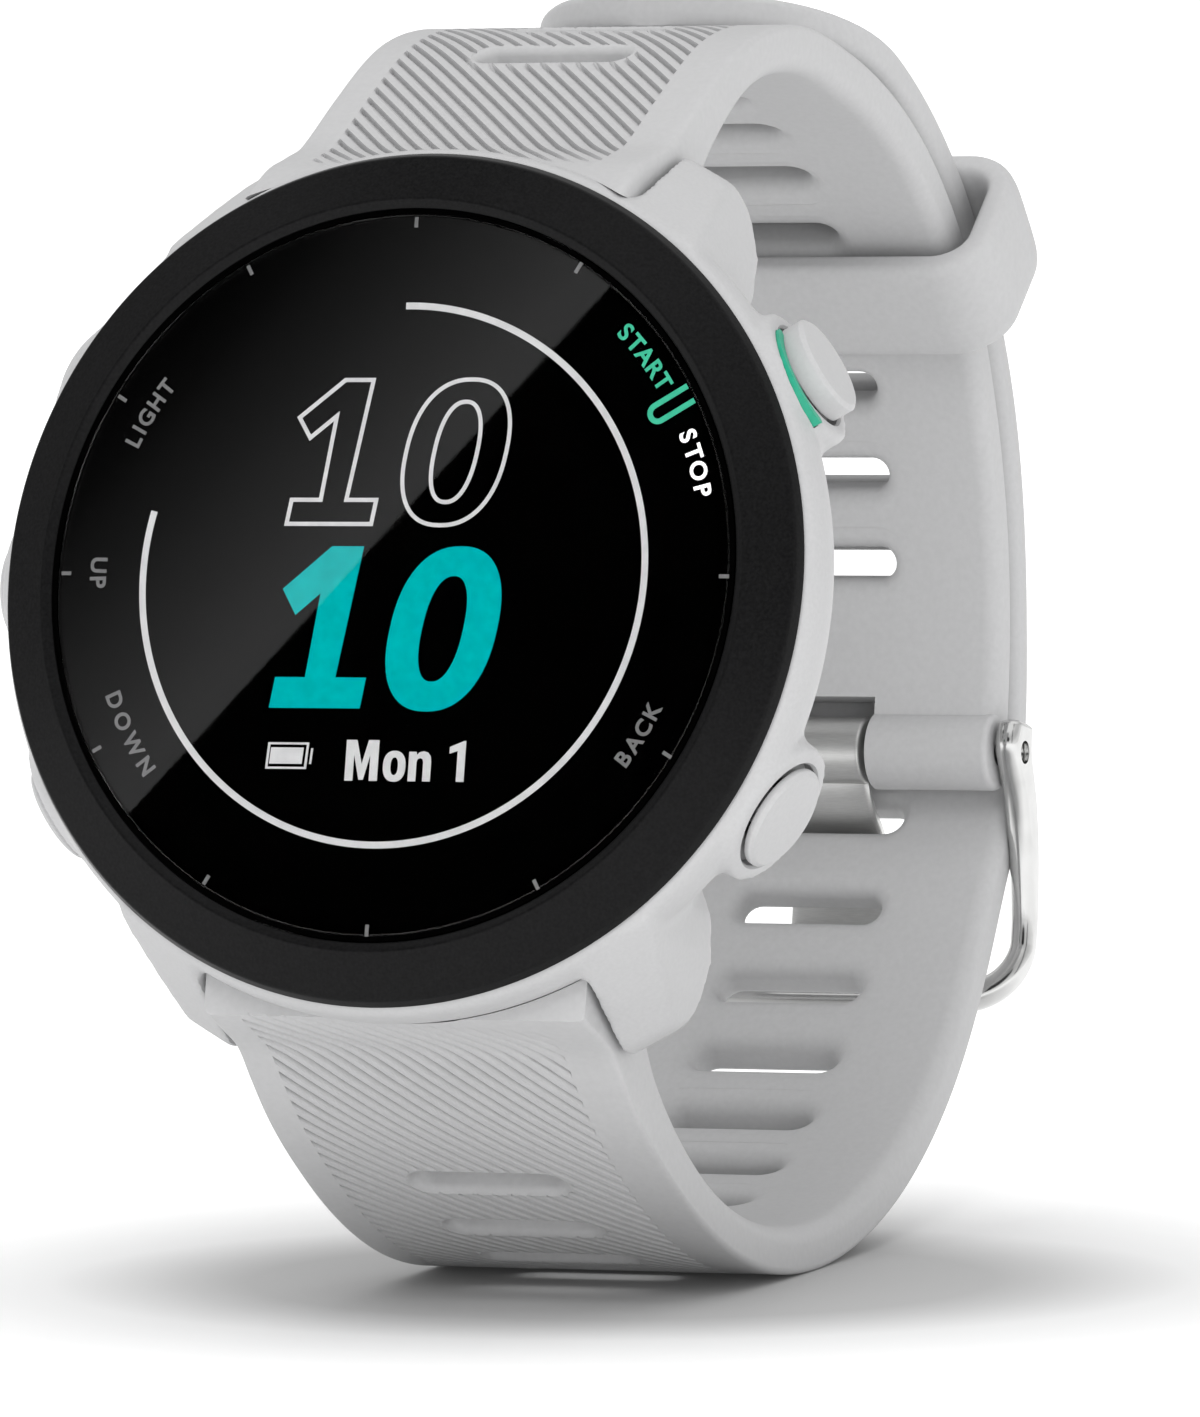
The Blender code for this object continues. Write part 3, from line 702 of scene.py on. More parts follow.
def build_upper_strap():
    """The short strap, whose end forms the knuckle round the buckle's pin."""
    track = Track(UPPER_PATH)
    ribs_end = track.length_at(UPPER_RIBS_END)
    slots = [track.length_at(angle) for angle in UPPER_SLOTS]
    case_end = track.length_at(UPPER_RIBS_START)

    def fade(row):
        return smooth(ribs_end - SLANT_FADE, ribs_end - 1.0, row)

    def mask(x, length):
        near_case = 1 - smooth(case_end, case_end + UPPER_RIBS_FADE, length)
        return rib_field(x, length, slots) * near_case * smooth(ribs_end, ribs_end + 6, length)

    def half_at(row):
        return ease(UPPER_PATH, track.at(row)[2], 3)

    rows = plain_rows(0.0, ribs_end - 1.2)
    rows += rib_rows(ribs_end - 0.6, track.whole + RIB_REACH)
    strap = strap_grid("strap_upper_skin", track, rows, fade, mask, half_at, UPPER_RIB_DEPTH)
    boolean(strap, rod("knuckle", (-9.8, *PIN), (9.8, *PIN), KNUCKLE_RADIUS, 64, 0.35), "UNION")
    boolean(strap, slot_pegs("upper_slots", track, UPPER_SLOTS))
    weld(settle(strap))
    bar_sleeve(strap, 1, "upper")
    boolean(strap, rod("pin_hole", (-12, *PIN), (12, *PIN), PIN_RADIUS + 0.2))
    weld(settle(strap))
    boolean(strap, block("fork_gap", (-FORK_HALF_WIDTH, 50, -6), (FORK_HALF_WIDTH, 64, 2.9)))
    finish_piece(weld(settle(strap)), "silicone", "watch", "strap_upper")


def build_lower_strap():
    """The long strap, with slots for the tongue and a round tail."""
    track = Track(LOWER_PATH)
    ribs_end = track.length_at(LOWER_RIBS_END)
    angles = LOWER_SLOTS + [TONGUE_SLOT] + TAIL_SLOTS
    slots = [track.length_at(angle) for angle in LOWER_SLOTS]
    near_left, full_left = map(track.length_at, LOWER_RIBS_LEFT)
    near_right, full_right = map(track.length_at, LOWER_RIBS_RIGHT)
    tip = track.whole - TAIL_TIP_LENGTH

    def fade(row):
        return 1 - smooth(ribs_end + 1.0, ribs_end + SLANT_FADE, row)

    def mask(x, length):
        side = (x - RIB_LEFT) / (RIB_RIGHT - RIB_LEFT)
        start = near_left + (near_right - near_left) * side
        full = full_left + (full_right - full_left) * side
        near_case = smooth(start, full, length)
        return rib_field(x, length, slots) * near_case * (1 - smooth(ribs_end - 6, ribs_end, length))

    def half_at(row):
        half = ease(LOWER_PATH, track.at(row)[2], 3)
        part = max(0.0, (row - tip) / TAIL_TIP_LENGTH)
        return max(0.9, half * sqrt(max(0.0, 1 - part * part)))

    rows = rib_rows(-RIB_REACH, ribs_end + 0.8)
    rows += plain_rows(rows[-1][0] + 0.5, tip)
    rows += [(tip + TAIL_TIP_LENGTH * sin(radians(5 * i)), 0.0) for i in range(1, 18)]
    strap = strap_grid("strap_lower_skin", track, rows, fade, mask, half_at, LOWER_RIB_DEPTH)
    boolean(strap, slot_pegs("lower_slots", track, angles))
    bar_sleeve(strap, -1, "lower")
    finish_piece(weld(settle(strap)), "silicone", "watch", "strap_lower")


# ---------------------------------------------------------------- case


def button_axes(angle):
    """The way a button points, and the place on the dial axis that it points away from."""
    turn = radians(angle)
    return Vector((cos(turn), 0, sin(turn))), Vector((0, BUTTON_Y, 0))


def lug_outline(x):
    """(y, z) outline of the upper lugs: the front face falls away outwards."""
    fall = 0.55 * (x - LUG_INNER)
    front = [(1.6, 18.2), (3.0, 19.05), (5.6, 20.6), (8.1, 22.0), (9.0, 22.1), (10.1, 21.6)]
    back = [(10.5, 20.7), (10.6, 19.2), (10.1, 17.2), (9.8, 15.4), (9.6, 13.4), (9.3, 12.0)]
    return [(y, z - fall) for y, z in front] + [(y, z - 0.5 * fall) for y, z in back]


def build_lugs():
    """Four lugs, each the part that its outlines from the side and from the front share."""
    lugs = []
    hollow = [(0, -1), (20.0, -1), (20.0, 5.0), (18.0, 7.0), (17.4, 20), (0, 20)]
    plan = [(8.0, 23.5), (11.9, 23.5), (12.35, 21.9), (12.8, 20.9), (13.4, 18.9), (13.9, 16.9)]
    plan += [(13.9, 15.0), (13.0, 12.9), (11.4, 10.2), (8.0, 10.2)]
    for i, (sx, sz) in enumerate(((1, 1), (1, -1), (-1, -1), (-1, 1))):
        loops = [[(sx * x, y, sz * z) for y, z in lug_outline(x)] for x in (LUG_INNER, 18.0)]
        lug = skin(f"lug_{i}", loops)
        sides = [[(sx * x, y, sz * z) for x, z in plan] for y in (0.0, 14.0)]
        boolean(lug, skin(f"lug_plan_{i}", sides), "INTERSECT")
        boolean(lug, turned(f"lug_hollow_{i}", hollow, 64))
        cut_strap_gap(lug, sz, i)
        lugs.append(settle(lug))
    return lugs


def cut_strap_gap(obj, sign, tag):
    """Takes the strap's room between a pair of lugs out of a solid."""
    low, high = sorted((sign * GAP_Z, sign * 30))
    gap = block(f"strap_gap_{tag}_{sign + 1}", (-LUG_INNER, GAP_Y, low), (LUG_INNER, 20, high))
    boolean(obj, gap)


def accent_bar(name, inner, outer, low, high, half_angle):
    """A curved bar with round ends that hugs the front of the start button's seat."""
    out, centre = button_axes(ACCENT_ANGLE)
    across = Vector((-out.z, 0, out.x))
    loops = []
    count = 48
    middle, half = (inner + outer) / 2, (outer - inner) / 2
    end = degrees(half / middle)
    for i in range(count + 1):
        turn = -half_angle + 2 * half_angle * i / count
        near = max(0.0, abs(turn) - (half_angle - end)) / end
        thin = max(0.12, sqrt(max(0.0, 1 - near * near)))
        near_edge, far_edge = middle - half * thin, middle + half * thin
        angle = radians(-90 + turn)
        ray = cos(angle) * across + sin(angle) * Vector((0, 1, 0))
        section = ((near_edge, low), (far_edge, low), (far_edge, high), (near_edge, high))
        loops.append([centre + ray * r + out * h for r, h in section])
    return skin(name, loops)


def build_case():
    """Moulded body with soft edges first, then the machined openings."""
    outline = [(0, 1.45), (20.9, 1.45), (21.25, 2.1), (CASE_RADIUS, 3.2), (21.25, 4.2), (20.85, 5.3)]
    outline += [(20.15, 7.0), (19.3, 8.5), (18.5, 9.7), (0, 9.7)]
    solid = turned("case_solid", outline)
    for sign in (1, -1):
        cut_strap_gap(solid, sign, "case")
    solids = [settle(solid)] + build_lugs()
    for name, angle, _, radius in BUTTONS:
        out, centre = button_axes(angle)
        ends = (centre + out * 18.5, centre + out * 21.6)
        solids.append(rod(f"boss_{name}", *ends, radius + BOSS_WALL, 48, 0.25))
    case = joined("case_moulding", solids)
    remesh = case.modifiers.new("Moulding", "REMESH")
    remesh.mode = "VOXEL"
    remesh.voxel_size = CASE_VOXEL * MM
    soften = case.modifiers.new("Soften", "SMOOTH")
    soften.factor = 0.5
    soften.iterations = 11
    settle(case)

    cavity = [(0, -1), (16.5, -1), (16.5, 3.0), (15.9, 3.0), (15.9, 8.4), (16.8, 8.4), (16.8, 12), (0, 12)]
    groove = [(19.1, 0.5), (19.9, 0.5), (19.9, 2.2), (19.1, 2.2)]
    rooms = [turned("case_cavity", cavity), turned("bezel_groove", groove)]
    for sign in (1, -1):
        y, z = SPRING_BAR[0], sign * SPRING_BAR[1]
        rooms.append(rod(f"bar_hole_{sign + 1}", (-11.6, y, z), (11.6, y, z), SPRING_BAR_RADIUS + 0.15))
    rooms.append(accent_bar("accent_groove", 2.83, 3.33, 20.7, 22.4, 56))
    boolean(case, joined("case_rooms", rooms))
    seats = []
    for name, angle, _, radius in BUTTONS:
        out, centre = button_axes(angle)
        seat = radius + SEAT_GAP
        profile = [(0, 14.5), (1.15, 14.5), (1.15, 18.9), (1.75, 18.9), (1.75, 20.9), (seat, 20.9)]
        profile += [(seat, 21.45), (seat + 0.14, 21.62), (seat + 0.14, 25), (0, 25)]
        seats.append(turned(f"seat_{name}", profile, 64, centre, out))
    boolean(case, joined("button_seats", seats))
    bosses, bores = [], []
    for i, (x, z) in enumerate(SCREWS):
        bosses.append(rod(f"screw_boss_{i}", (x, 5.9, z), (x, 8.3, z), 1.4, 32))
        bores.append(rod(f"screw_bore_{i}", (x, 5.0, z), (x, 9, z), 0.72, 24))
    boolean(case, joined("screw_bosses", bosses), "UNION")
    boolean(case, joined("screw_bores", bores))
    case.name = "case_body"
    finish_piece(settle(case), "case_polymer", "watch", "case", angle=38)
    strip = accent_bar("accent_bar", 2.87, 3.29, 20.75, 21.72, 55)
    finish_piece(strip, "green", "watch", "accent_strip")


# ---------------------------------------------------------------- dial


def build_bezel():
    """The ring round the glass: a narrow lip, a cone and a tongue that sits in the case."""
    outline = [(17.9, 1.0), (17.9, 0.0), (18.35, -0.25), (20.64, 0.8), (20.88, 1.4), (19.8, 1.4)]
    outline += [(19.8, 2.05), (19.2, 2.05), (19.2, 1.4), (17.9, 1.4)]
    radii = (0, 0.06, 0.22, 0.3, 0.05, 0, 0, 0, 0, 0)
    bezel = turned("bezel_ring", rounded(outline, radii), 256)
    finish_piece(bezel, "bezel_black", "watch", "bezel")


def build_lens():
    """Clear glass over a black cup, with the marks between them."""
    rim, wall = 17.6, 17.85
    glass_outline = [(0, GLASS_FRONT), (rim, GLASS_FRONT), (rim, GLASS_BACK), (0, GLASS_BACK)]
    cover = turned("lens_glass", rounded(glass_outline, (0, 0.12, 0, 0)), 256)
    finish_piece(cover, "glass", "watch", "lens")
    mask_outline = [(0, PRINT_FRONT), (rim + 0.01, PRINT_FRONT), (rim + 0.01, GLASS_FRONT - 0.01),
                    (wall, GLASS_FRONT - 0.01), (wall, 0.95), (0, 0.95)]
    mask = turned("lens_mask", mask_outline, 256)
    finish_piece(mask, "dark_polymer", "watch", "lens", material=PRINT_BLACK)


def mark_piece(name, outlines, ink):
    """Flat shapes just under the glass: each is a closed outline with optional holes."""
    curve = bpy.data.curves.new(name, "CURVE")
    curve.dimensions = "2D"
    curve.fill_mode = "BOTH"
    for outline in outlines:
        spline = curve.splines.new("POLY")
        spline.points.add(len(outline) - 1)
        for point, (x, z) in zip(spline.points, outline):
            point.co = (x * MM, z * MM, 0, 1)
        spline.use_cyclic_u = True
    curve.extrude = (MARK_BACK - MARK_FRONT) / 2 * MM
    return flat_mark(name, curve, ink)


def flat_mark(name, curve, ink, place=Matrix.Identity(4)):
    """Turns a flat curve or text into a thin mesh that faces out of the dial."""
    source = add_object(name + "_source", curve, Matrix.Identity(4))
    bpy.context.view_layer.update()
    graph = bpy.context.evaluated_depsgraph_get()
    mesh = bpy.data.meshes.new_from_object(source.evaluated_get(graph))
    bpy.data.objects.remove(source)
    upright = Matrix.Rotation(radians(90), 4, "X")
    lift = Matrix.Translation(Vector((0, (MARK_FRONT + MARK_BACK) / 2 * MM, 0)))
    mesh.transform(lift @ upright @ place)
    mesh.name = name
    clean_mesh(mesh)
    mesh.materials.clear()
    mesh.materials.append(INK[ink])
    return add_object(name, mesh)


def merge_marks(name, marks):
    """Several marks as one piece on the watch."""
    ink = marks[0].data.materials[0]
    made = joined(name, marks)
    made.data.materials.clear()
    made.data.materials.append(ink)
    bake(made)
    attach(made, "watch")


def show_mark(name, outlines, ink):
    """One flat shape, with its holes, as a piece of its own."""
    merge_marks(name, [mark_piece(name + "_shape", outlines, ink)])


def text_curve(name, words, height):
    """Upright capitals of a given height."""
    curve = bpy.data.curves.new(name, "FONT")
    curve.body = words
    curve.size = height / 0.72 * MM
    curve.offset = LETTER_WEIGHT * MM
    curve.align_x = "CENTER"
    curve.extrude = (MARK_BACK - MARK_FRONT) / 2 * MM
    return curve


def arc_words(name, words, radius, middle, span, height, ink, outward=True):
    """Letters set one by one along the rim of the dial."""
    marks = []
    widths = [LETTER_WIDTHS.get(letter, 1.0) for letter in words]
    for i, letter in enumerate(words):
        share = (sum(widths[:i]) + widths[i] / 2) / sum(widths) - 0.5
        angle = radians(middle + (-span if outward else span) * share)
        turn = angle - pi / 2 if outward else angle + pi / 2
        foot = radius - height / 2 if outward else radius + height / 2
        spot = Vector((foot * cos(angle) * MM, foot * sin(angle) * MM, 0))
        place = Matrix.Translation(spot) @ Matrix.Rotation(turn, 4, "Z")
        marks.append(flat_mark(f"{name}_{i}", text_curve(name, letter, height), ink, place))
    merge_marks(name, marks)


def offset_outline(outline, width):
    """The outline moved inwards by a width, with mitred corners."""
    count = len(outline)
    area = sum(outline[i - 1][0] * outline[i][1] - outline[i][0] * outline[i - 1][1] for i in range(count))
    side = 1.0 if area > 0 else -1.0
    moved = []
    for i in range(count):
        here = Vector(outline[i])
        before = (here - Vector(outline[i - 1])).normalized()
        after = (Vector(outline[(i + 1) % count]) - here).normalized()
        n1 = Vector((-before.y, before.x)) * side
        n2 = Vector((-after.y, after.x)) * side
        bend = n1 + n2
        bend = bend / max(bend.dot(n1), 0.2)
        moved.append(tuple(here + bend * width))
    return moved


def slanted_one(left, top, height, width):
    """Outline of a bold slanted 1 with a foot, read clockwise from the flag's outer tip."""
    shape = ((0.06, 0.735), (0.56, 1.0), (0.9, 1.0), (0.69, 0.19), (1.02, 0.19), (0.975, 0.0),
             (0.0, 0.0), (0.045, 0.19), (0.365, 0.19), (0.47, 0.71), (0.215, 0.575))
    return [(left + width * a, top - height * (1 - b)) for a, b in shape]


def slanted_ring(centre, half_width, half_height, shear):
    """An oval, a little squarer at its shoulders, leaning to the right."""
    steps, power = 64, 0.86
    points = []
    for i in range(steps):
        turn = tau * i / steps
        c, s = cos(turn), sin(turn)
        x = half_width * copysign(abs(c) ** power, c)
        z = half_height * copysign(abs(s) ** power, s)
        points.append((centre[0] + x + shear * z, centre[1] + z))
    return points


def build_time():
    """Hours as outlined digits, minutes as solid ones."""
    line = 0.2
    one = slanted_one(-5.85, 9.62, 7.25, 4.78)
    outer = slanted_ring((2.92, 5.98), 2.72, 3.66, DIGIT_SLANT)
    inner = slanted_ring((2.9, 6.0), 1.02, 2.35, DIGIT_SLANT)
    hours = [one, offset_outline(one, line), outer, offset_outline(outer, line), inner,
             offset_outline(inner, -line)]
    show_mark("display_hours", hours, "pale")
    one = slanted_one(-5.97, 1.38, 7.9, 4.9)
    outer = slanted_ring((2.9, -2.62), 2.8, 4.02, DIGIT_SLANT)
    inner = slanted_ring((2.86, -2.62), 1.08, 2.57, DIGIT_SLANT)
    show_mark("display_minutes", [one, outer, inner], "teal")


def build_dial_marks():
    """Seconds ring, battery sign, date, button words and hour marks."""
    outer, inner = SECONDS_RING
    ring = [(outer * cos(t), outer * sin(t)) for t in sweep(91.0, -193.5, 180)]
    ring += [(inner * cos(t), inner * sin(t)) for t in sweep(-193.5, 91.0, 180)]
    show_mark("display_ring", [ring], "pale")
    battery = [
        [(-5.94, -9.49), (-3.79, -9.49), (-3.71, -8.2), (-5.86, -8.2)],
        [(-5.83, -9.39), (-3.9, -9.39), (-3.82, -8.3), (-5.75, -8.3)],
        [(-5.75, -9.24), (-4.04, -9.24), (-3.98, -8.45), (-5.69, -8.45)],
        [(-3.64, -9.24), (-3.54, -9.24), (-3.48, -8.48), (-3.58, -8.48)],
    ]
    show_mark("display_battery", battery, "pale")
    build_date()
    arc_words("label_light", "LIGHT", 15.62, 149.6, 14.2, 0.8, "grey")
    arc_words("label_up", "UP", 15.52, 180.0, 6.0, 0.84, "grey", outward=False)
    arc_words("label_down", "DOWN", 15.45, 210.6, 18.0, 0.8, "grey", outward=False)
    arc_words("label_back", "BACK", 15.45, -30.0, 13.0, 0.8, "grey", outward=False)
    arc_words("label_start", "START", 16.42, 40.7, 14.0, 0.86, "green")
    arc_words("label_stop", "STOP", 16.42, 19.6, 13.0, 0.86, "white")
    marks = []
    for hour in range(12):
        if hour == START_HOUR:
            continue
        turn = radians(90 - 30 * hour)
        out = Vector((cos(turn), sin(turn)))
        side = Vector((-out.y, out.x)) * HOUR_MARK_HALF
        near, far = (out * radius for radius in HOUR_MARK)
        tick = [near - side, far - side, far + side, near + side]
        marks.append(mark_piece(f"tick_{hour}", [[tuple(corner) for corner in tick]], "grey"))
    merge_marks("hour_marks", marks)
    build_start_sign()


def build_date():
    """Mon 1, in bold narrow letters built from their own outlines."""
    foot = -10.03
    capital = ((0, 0), (0, 1.98), (0.54, 1.98), (0.85, 0.8), (1.16, 1.98), (1.7, 1.98), (1.7, 0), (1.28, 0),
               (1.28, 1.3), (0.96, 0.05), (0.74, 0.05), (0.42, 1.3), (0.42, 0))
    small_n = ((0, 0), (0, 1.43), (0.37, 1.43), (0.39, 1.27), (0.55, 1.41), (0.76, 1.46), (0.98, 1.4),
               (1.12, 1.22), (1.16, 0.95), (1.16, 0), (0.76, 0), (0.76, 0.92), (0.71, 1.08), (0.58, 1.13),
               (0.45, 1.08), (0.4, 0.96), (0.4, 0))
    one = ((0.42, 0), (0.42, 1.5), (0, 1.36), (0, 1.68), (0.74, 1.98), (0.82, 1.98), (0.82, 0))
    letters = ((capital, -1.73), (small_n, 1.58), (one, 3.68))
    outlines = [[(x + left, z + foot) for x, z in shape] for shape, left in letters]
    middle = (0.83, foot + 0.72)
    outlines.append(slanted_ring(middle, 0.585, 0.75, 0.0))
    outlines.append(slanted_ring(middle, 0.2, 0.43, 0.0))
    show_mark("display_date", outlines, "pale")


def sweep(start, end, steps):
    """Evenly spread angles in radians, both ends included, from angles in degrees."""
    return [radians(start + (end - start) * i / steps) for i in range(steps + 1)]


def build_start_sign():
    """The two joined bars beside the start button: a U that opens outwards."""
    angle = radians(30.7)
    out = Vector((cos(angle), sin(angle)))
    side = Vector((-out.y, out.x))
    gap, width, low, high = 0.27, 0.27, 15.45, 17.35
    outer, inner = gap + width, gap
    shape = [(high, outer)]
    shape += [(low - outer * sin(t), outer * cos(t)) for t in sweep(0, 180, 20)]
    shape += [(high, -outer), (high, -inner)]
    shape += [(low - inner * sin(t), -inner * cos(t)) for t in sweep(0, 180, 20)]
    shape += [(high, inner)]
    outline = [tuple(out * a + side * b) for a, b in shape]
    show_mark("start_sign", [outline], "green")


# ---------------------------------------------------------------- buttons, back, inside


def build_buttons():
    """Round caps, each on its own stem."""
    for name, angle, reach, radius in BUTTONS:
        out, centre = button_axes(angle)
        profile = [(0, 16.4), (1.0, 16.4), (1.0, 21.55), (radius, 21.55), (radius, reach - 0.24)]
        profile += [(radius - 0.22, reach - 0.05), (0, reach)]
        cap = turned(f"cap_{name}", rounded(profile, (0, 0.1, 0, 0.12, 0.12, 0.15, 0), 6), 96, centre, out)
        finish_piece(cap, "case_polymer", f"button_{name}", f"button_{name}", angle=40)


def build_back():
    """Back cover with its screws, charging contacts and the sensor's window."""
    outline = [(5.65, 9.75), (9.0, 9.75), (9.0, 8.85), (16.6, 8.85), (16.6, 9.9), (16.2, 10.2)]
    outline += [(11.2, 10.2), (9.4, 11.0), (5.65, 11.0)]
    cover = turned("cover_shell", rounded(outline, (0, 0, 0, 0, 0.1, 0.15, 0.6, 0.5, 0.12)))
    holes = []
    for i, (x, z) in enumerate(SCREWS):
        profile = [(0, 8), (0.75, 8), (0.75, 9.35), (1.3, 9.35), (1.3, 10.12), (1.45, 10.4), (0, 10.4)]
        holes.append(turned(f"sink_{i}", profile, 48, (x, 0, z)))
        shape = [(0, 6.6), (0.6, 6.6), (0.6, 9.4), (1.15, 9.4), (1.15, 10.08), (0, 10.08)]
        screw = turned(f"screw_{i}", rounded(shape, (0, 0.1, 0, 0, 0.14, 0)), 48, (x, 0, z))
        boolean(screw, turned(f"socket_{i}", [(0, 9.6), (0.5, 9.6), (0.5, 11), (0, 11)], 6, (x, 0, z)))
        finish_piece(settle(screw), "steel", "watch", f"back_screw_{i + 1}")
    corners = [(-4.2, -14.0), (4.2, -14.0), (4.2, -11.6), (-4.2, -11.6)]
    port = rounded(corners, (0.6, 0.6, 0.6, 0.6), 6)
    holes.append(skin("port_room", [[(x, y, z) for x, z in port] for y in (9.6, 12)]))
    boolean(cover, joined("cover_rooms", holes))
    wells = []
    for i in range(4):
        x, z = CONTACT_PITCH * (i - 1.5), CONTACT_Z
        wells.append(rod(f"well_{i}", (x, 8, z), (x, 9.9, z), 0.55, 32))
        shape = [(0, 8.6), (0.45, 8.6), (0.45, 9.8), (0, 9.8)]
        contact = turned(f"contact_{i}", rounded(shape, (0, 0, 0.2, 0)), 32, (x, 0, z))
        finish_piece(contact, "gold", "watch", f"charge_contact_{i + 1}")
    boolean(cover, joined("contact_wells", wells))
    finish_piece(settle(cover), "case_polymer", "watch", "back_cover")
    dome = [(0, 9.8), (5.5, 9.8), (5.5, 11.05), (4.6, 11.25), (0, 11.35)]
    window = turned("sensor_dome", rounded(dome, (0, 0, 0.2, 0.8, 0)), 128)
    finish_piece(window, "glass", "watch", "sensor_window")


INSIDE = {
    "case_polymer": ("backlight",),
    "dark_polymer": ("display_panel", "display_carrier"),
    "rubber": ("lens_seal", "cover_gasket", "seal_start", "seal_back", "seal_up", "seal_light", "seal_down"),
    "board": ("main_board", "sensor_board"),
    "cell": ("battery",),
    "gold": ("gps_antenna",),
    "steel": ("shield_can", "vibration_motor", "switch_start", "switch_back", "switch_up", "switch_light",
              "switch_down", "spring_bar_upper", "spring_bar_lower", "release_lever_upper",
              "release_lever_lower"),
}


def dress_inside():
    """The CAD solids that stay as they are get their materials."""
    for slot, names in INSIDE.items():
        for name in names:
            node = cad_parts[name]
            for holder in node.material_slots:
                holder.material = MATERIALS[slot]


# ---------------------------------------------------------------- buckle and keeper


def section_ring(centre, wide, deep, half_wide, half_deep, steps, power):
    """A rounded-rectangle ring of points about a centre."""
    loop = []
    for i in range(steps):
        turn = tau * (i + 0.5) / steps
        c, s = cos(turn), sin(turn)
        a = half_wide * copysign(abs(c) ** power, c)
        b = half_deep * copysign(abs(s) ** power, s)
        loop.append(centre + wide * a + deep * b)
    return loop


def stadium_ring(centre, wide, deep, half_wide, half_deep):
    """A ring with flat sides and half-round front and back edges."""
    steps = 18
    loop = []
    reach = max(0.0, half_deep - half_wide)
    for side in (1, -1):
        for i in range(steps):
            turn = pi * (i + 0.5) / steps
            a, b = half_wide * cos(turn) * side, half_wide * sin(turn) * side
            loop.append(centre + wide * a + deep * (b + reach * side))
    return loop


def between(points, steps):
    """A smooth line through vectors of any size, with steps parts to each stretch."""
    made = []
    last = len(points) - 1
    for i in range(last):
        a, b = points[max(i - 1, 0)], points[i]
        c, d = points[i + 1], points[min(i + 2, last)]
        for k in range(steps):
            t = k / steps
            made.append(0.5 * (2 * b + (c - a) * t + (2 * a - 5 * b + 4 * c - d) * t**2
                               + (3 * b - a - 3 * c + d) * t**3))
    return made + [points[-1]]


def build_buckle():
    """Half of the bow from its tip to the middle of the far bar, mirrored, and the pin through it."""
    arm = [(56.95, 1.5, 1.35), (56.95, 0.2, 1.5), (58.4, -2.2, 1.2), (59.4, -5.0, 1.0), (60.0, -8.0, 0.8)]
    arm += [(60.05, -9.5, 0.75)]
    fine = between([Vector(row) for row in arm], 6)
    stations = [(Vector((ARM_X, row.x, row.y)), Vector((1, 0, 0)), ARM_HALF, row.z) for row in fine]
    steps = 18
    for i in range(1, steps + 1):
        turn = radians(90 * i / steps)
        x = ARM_X - BOW_CORNER * (1 - cos(turn))
        z = FAR_BAR[1] + BOW_CORNER * (1 - sin(turn))
        wide = Vector((cos(turn), 0, -sin(turn)))
        y = FAR_BAR[0] + 1.25 * (1 - i / steps)
        stations.append((Vector((x, y, z)), wide, ARM_HALF + 0.2 * i / steps, 0.75 + 0.15 * i / steps))
    tip = []
    end, wide = stations[0][:2]
    for part in (0.25, 0.6, 0.85):
        size = sqrt(1 - (1 - part) ** 2)
        tip.append((end + Vector((0, 0, 0.36 * (1 - part))), wide, ARM_HALF * size, 1.35 * size))
    loops = [stadium_ring(c, w, Vector((0, 1, 0)), a, b) for c, w, a, b in tip + stations]
    mirror = [[Vector((-p.x, p.y, p.z)) for p in loop] for loop in reversed(loops)]
    buckle = skin("buckle_bow", loops + mirror)
    holes = [rod(f"bow_hole_{sign}", (sign * 9, *PIN), (sign * 13, *PIN), PIN_RADIUS + 0.1)
             for sign in (-1, 1)]
    boolean(buckle, joined("bow_holes", holes))
    finish_piece(settle(buckle), "steel", "buckle_frame", "buckle_frame", angle=40)
    pin = rod("buckle_rod", (-11.0, *PIN), (11.0, *PIN), PIN_RADIUS, 48, 0.12)
    finish_piece(pin, "steel", "buckle_frame", "buckle_pin")


def build_tongue():
    """A bent plate, narrower at its tip, rolled round the pin."""
    half = TONGUE_HALF_WIDTH
    line = [(56.95, -0.9), (57.4, -1.9), (58.3, -2.85), (59.3, -3.5), (60.15, -4.4)]
    line += [(60.65, -5.9), (60.85, -8.2), (60.7, -11.0), (60.4, -13.3)]
    fine = between([Vector(row) for row in line], 5)
    loops = []
    last = len(fine) - 1
    for i, row in enumerate(fine):
        along = (fine[min(i + 1, last)] - fine[max(i - 1, 0)]).normalized()
        out = Vector((0, -along.y, along.x))
        left = (last - i) / 5.0
        width = half - 0.5 * (1 - min(1.0, left)) ** 2
        place = Vector((0, row.x, row.y))
        loops.append(section_ring(place, Vector((1, 0, 0)), out, width, TONGUE_HALF_DEPTH, 24, 0.45))
    tongue = skin("tongue_plate", loops)
    boolean(tongue, rod("tongue_roll", (-half, *PIN), (half, *PIN), 1.75, 64, 0.2), "UNION")
    boolean(tongue, rod("tongue_bore", (-4, *PIN), (4, *PIN), PIN_RADIUS + 0.15))
    finish_piece(settle(tongue), "brushed", "buckle_tongue", "buckle_tongue", angle=40)


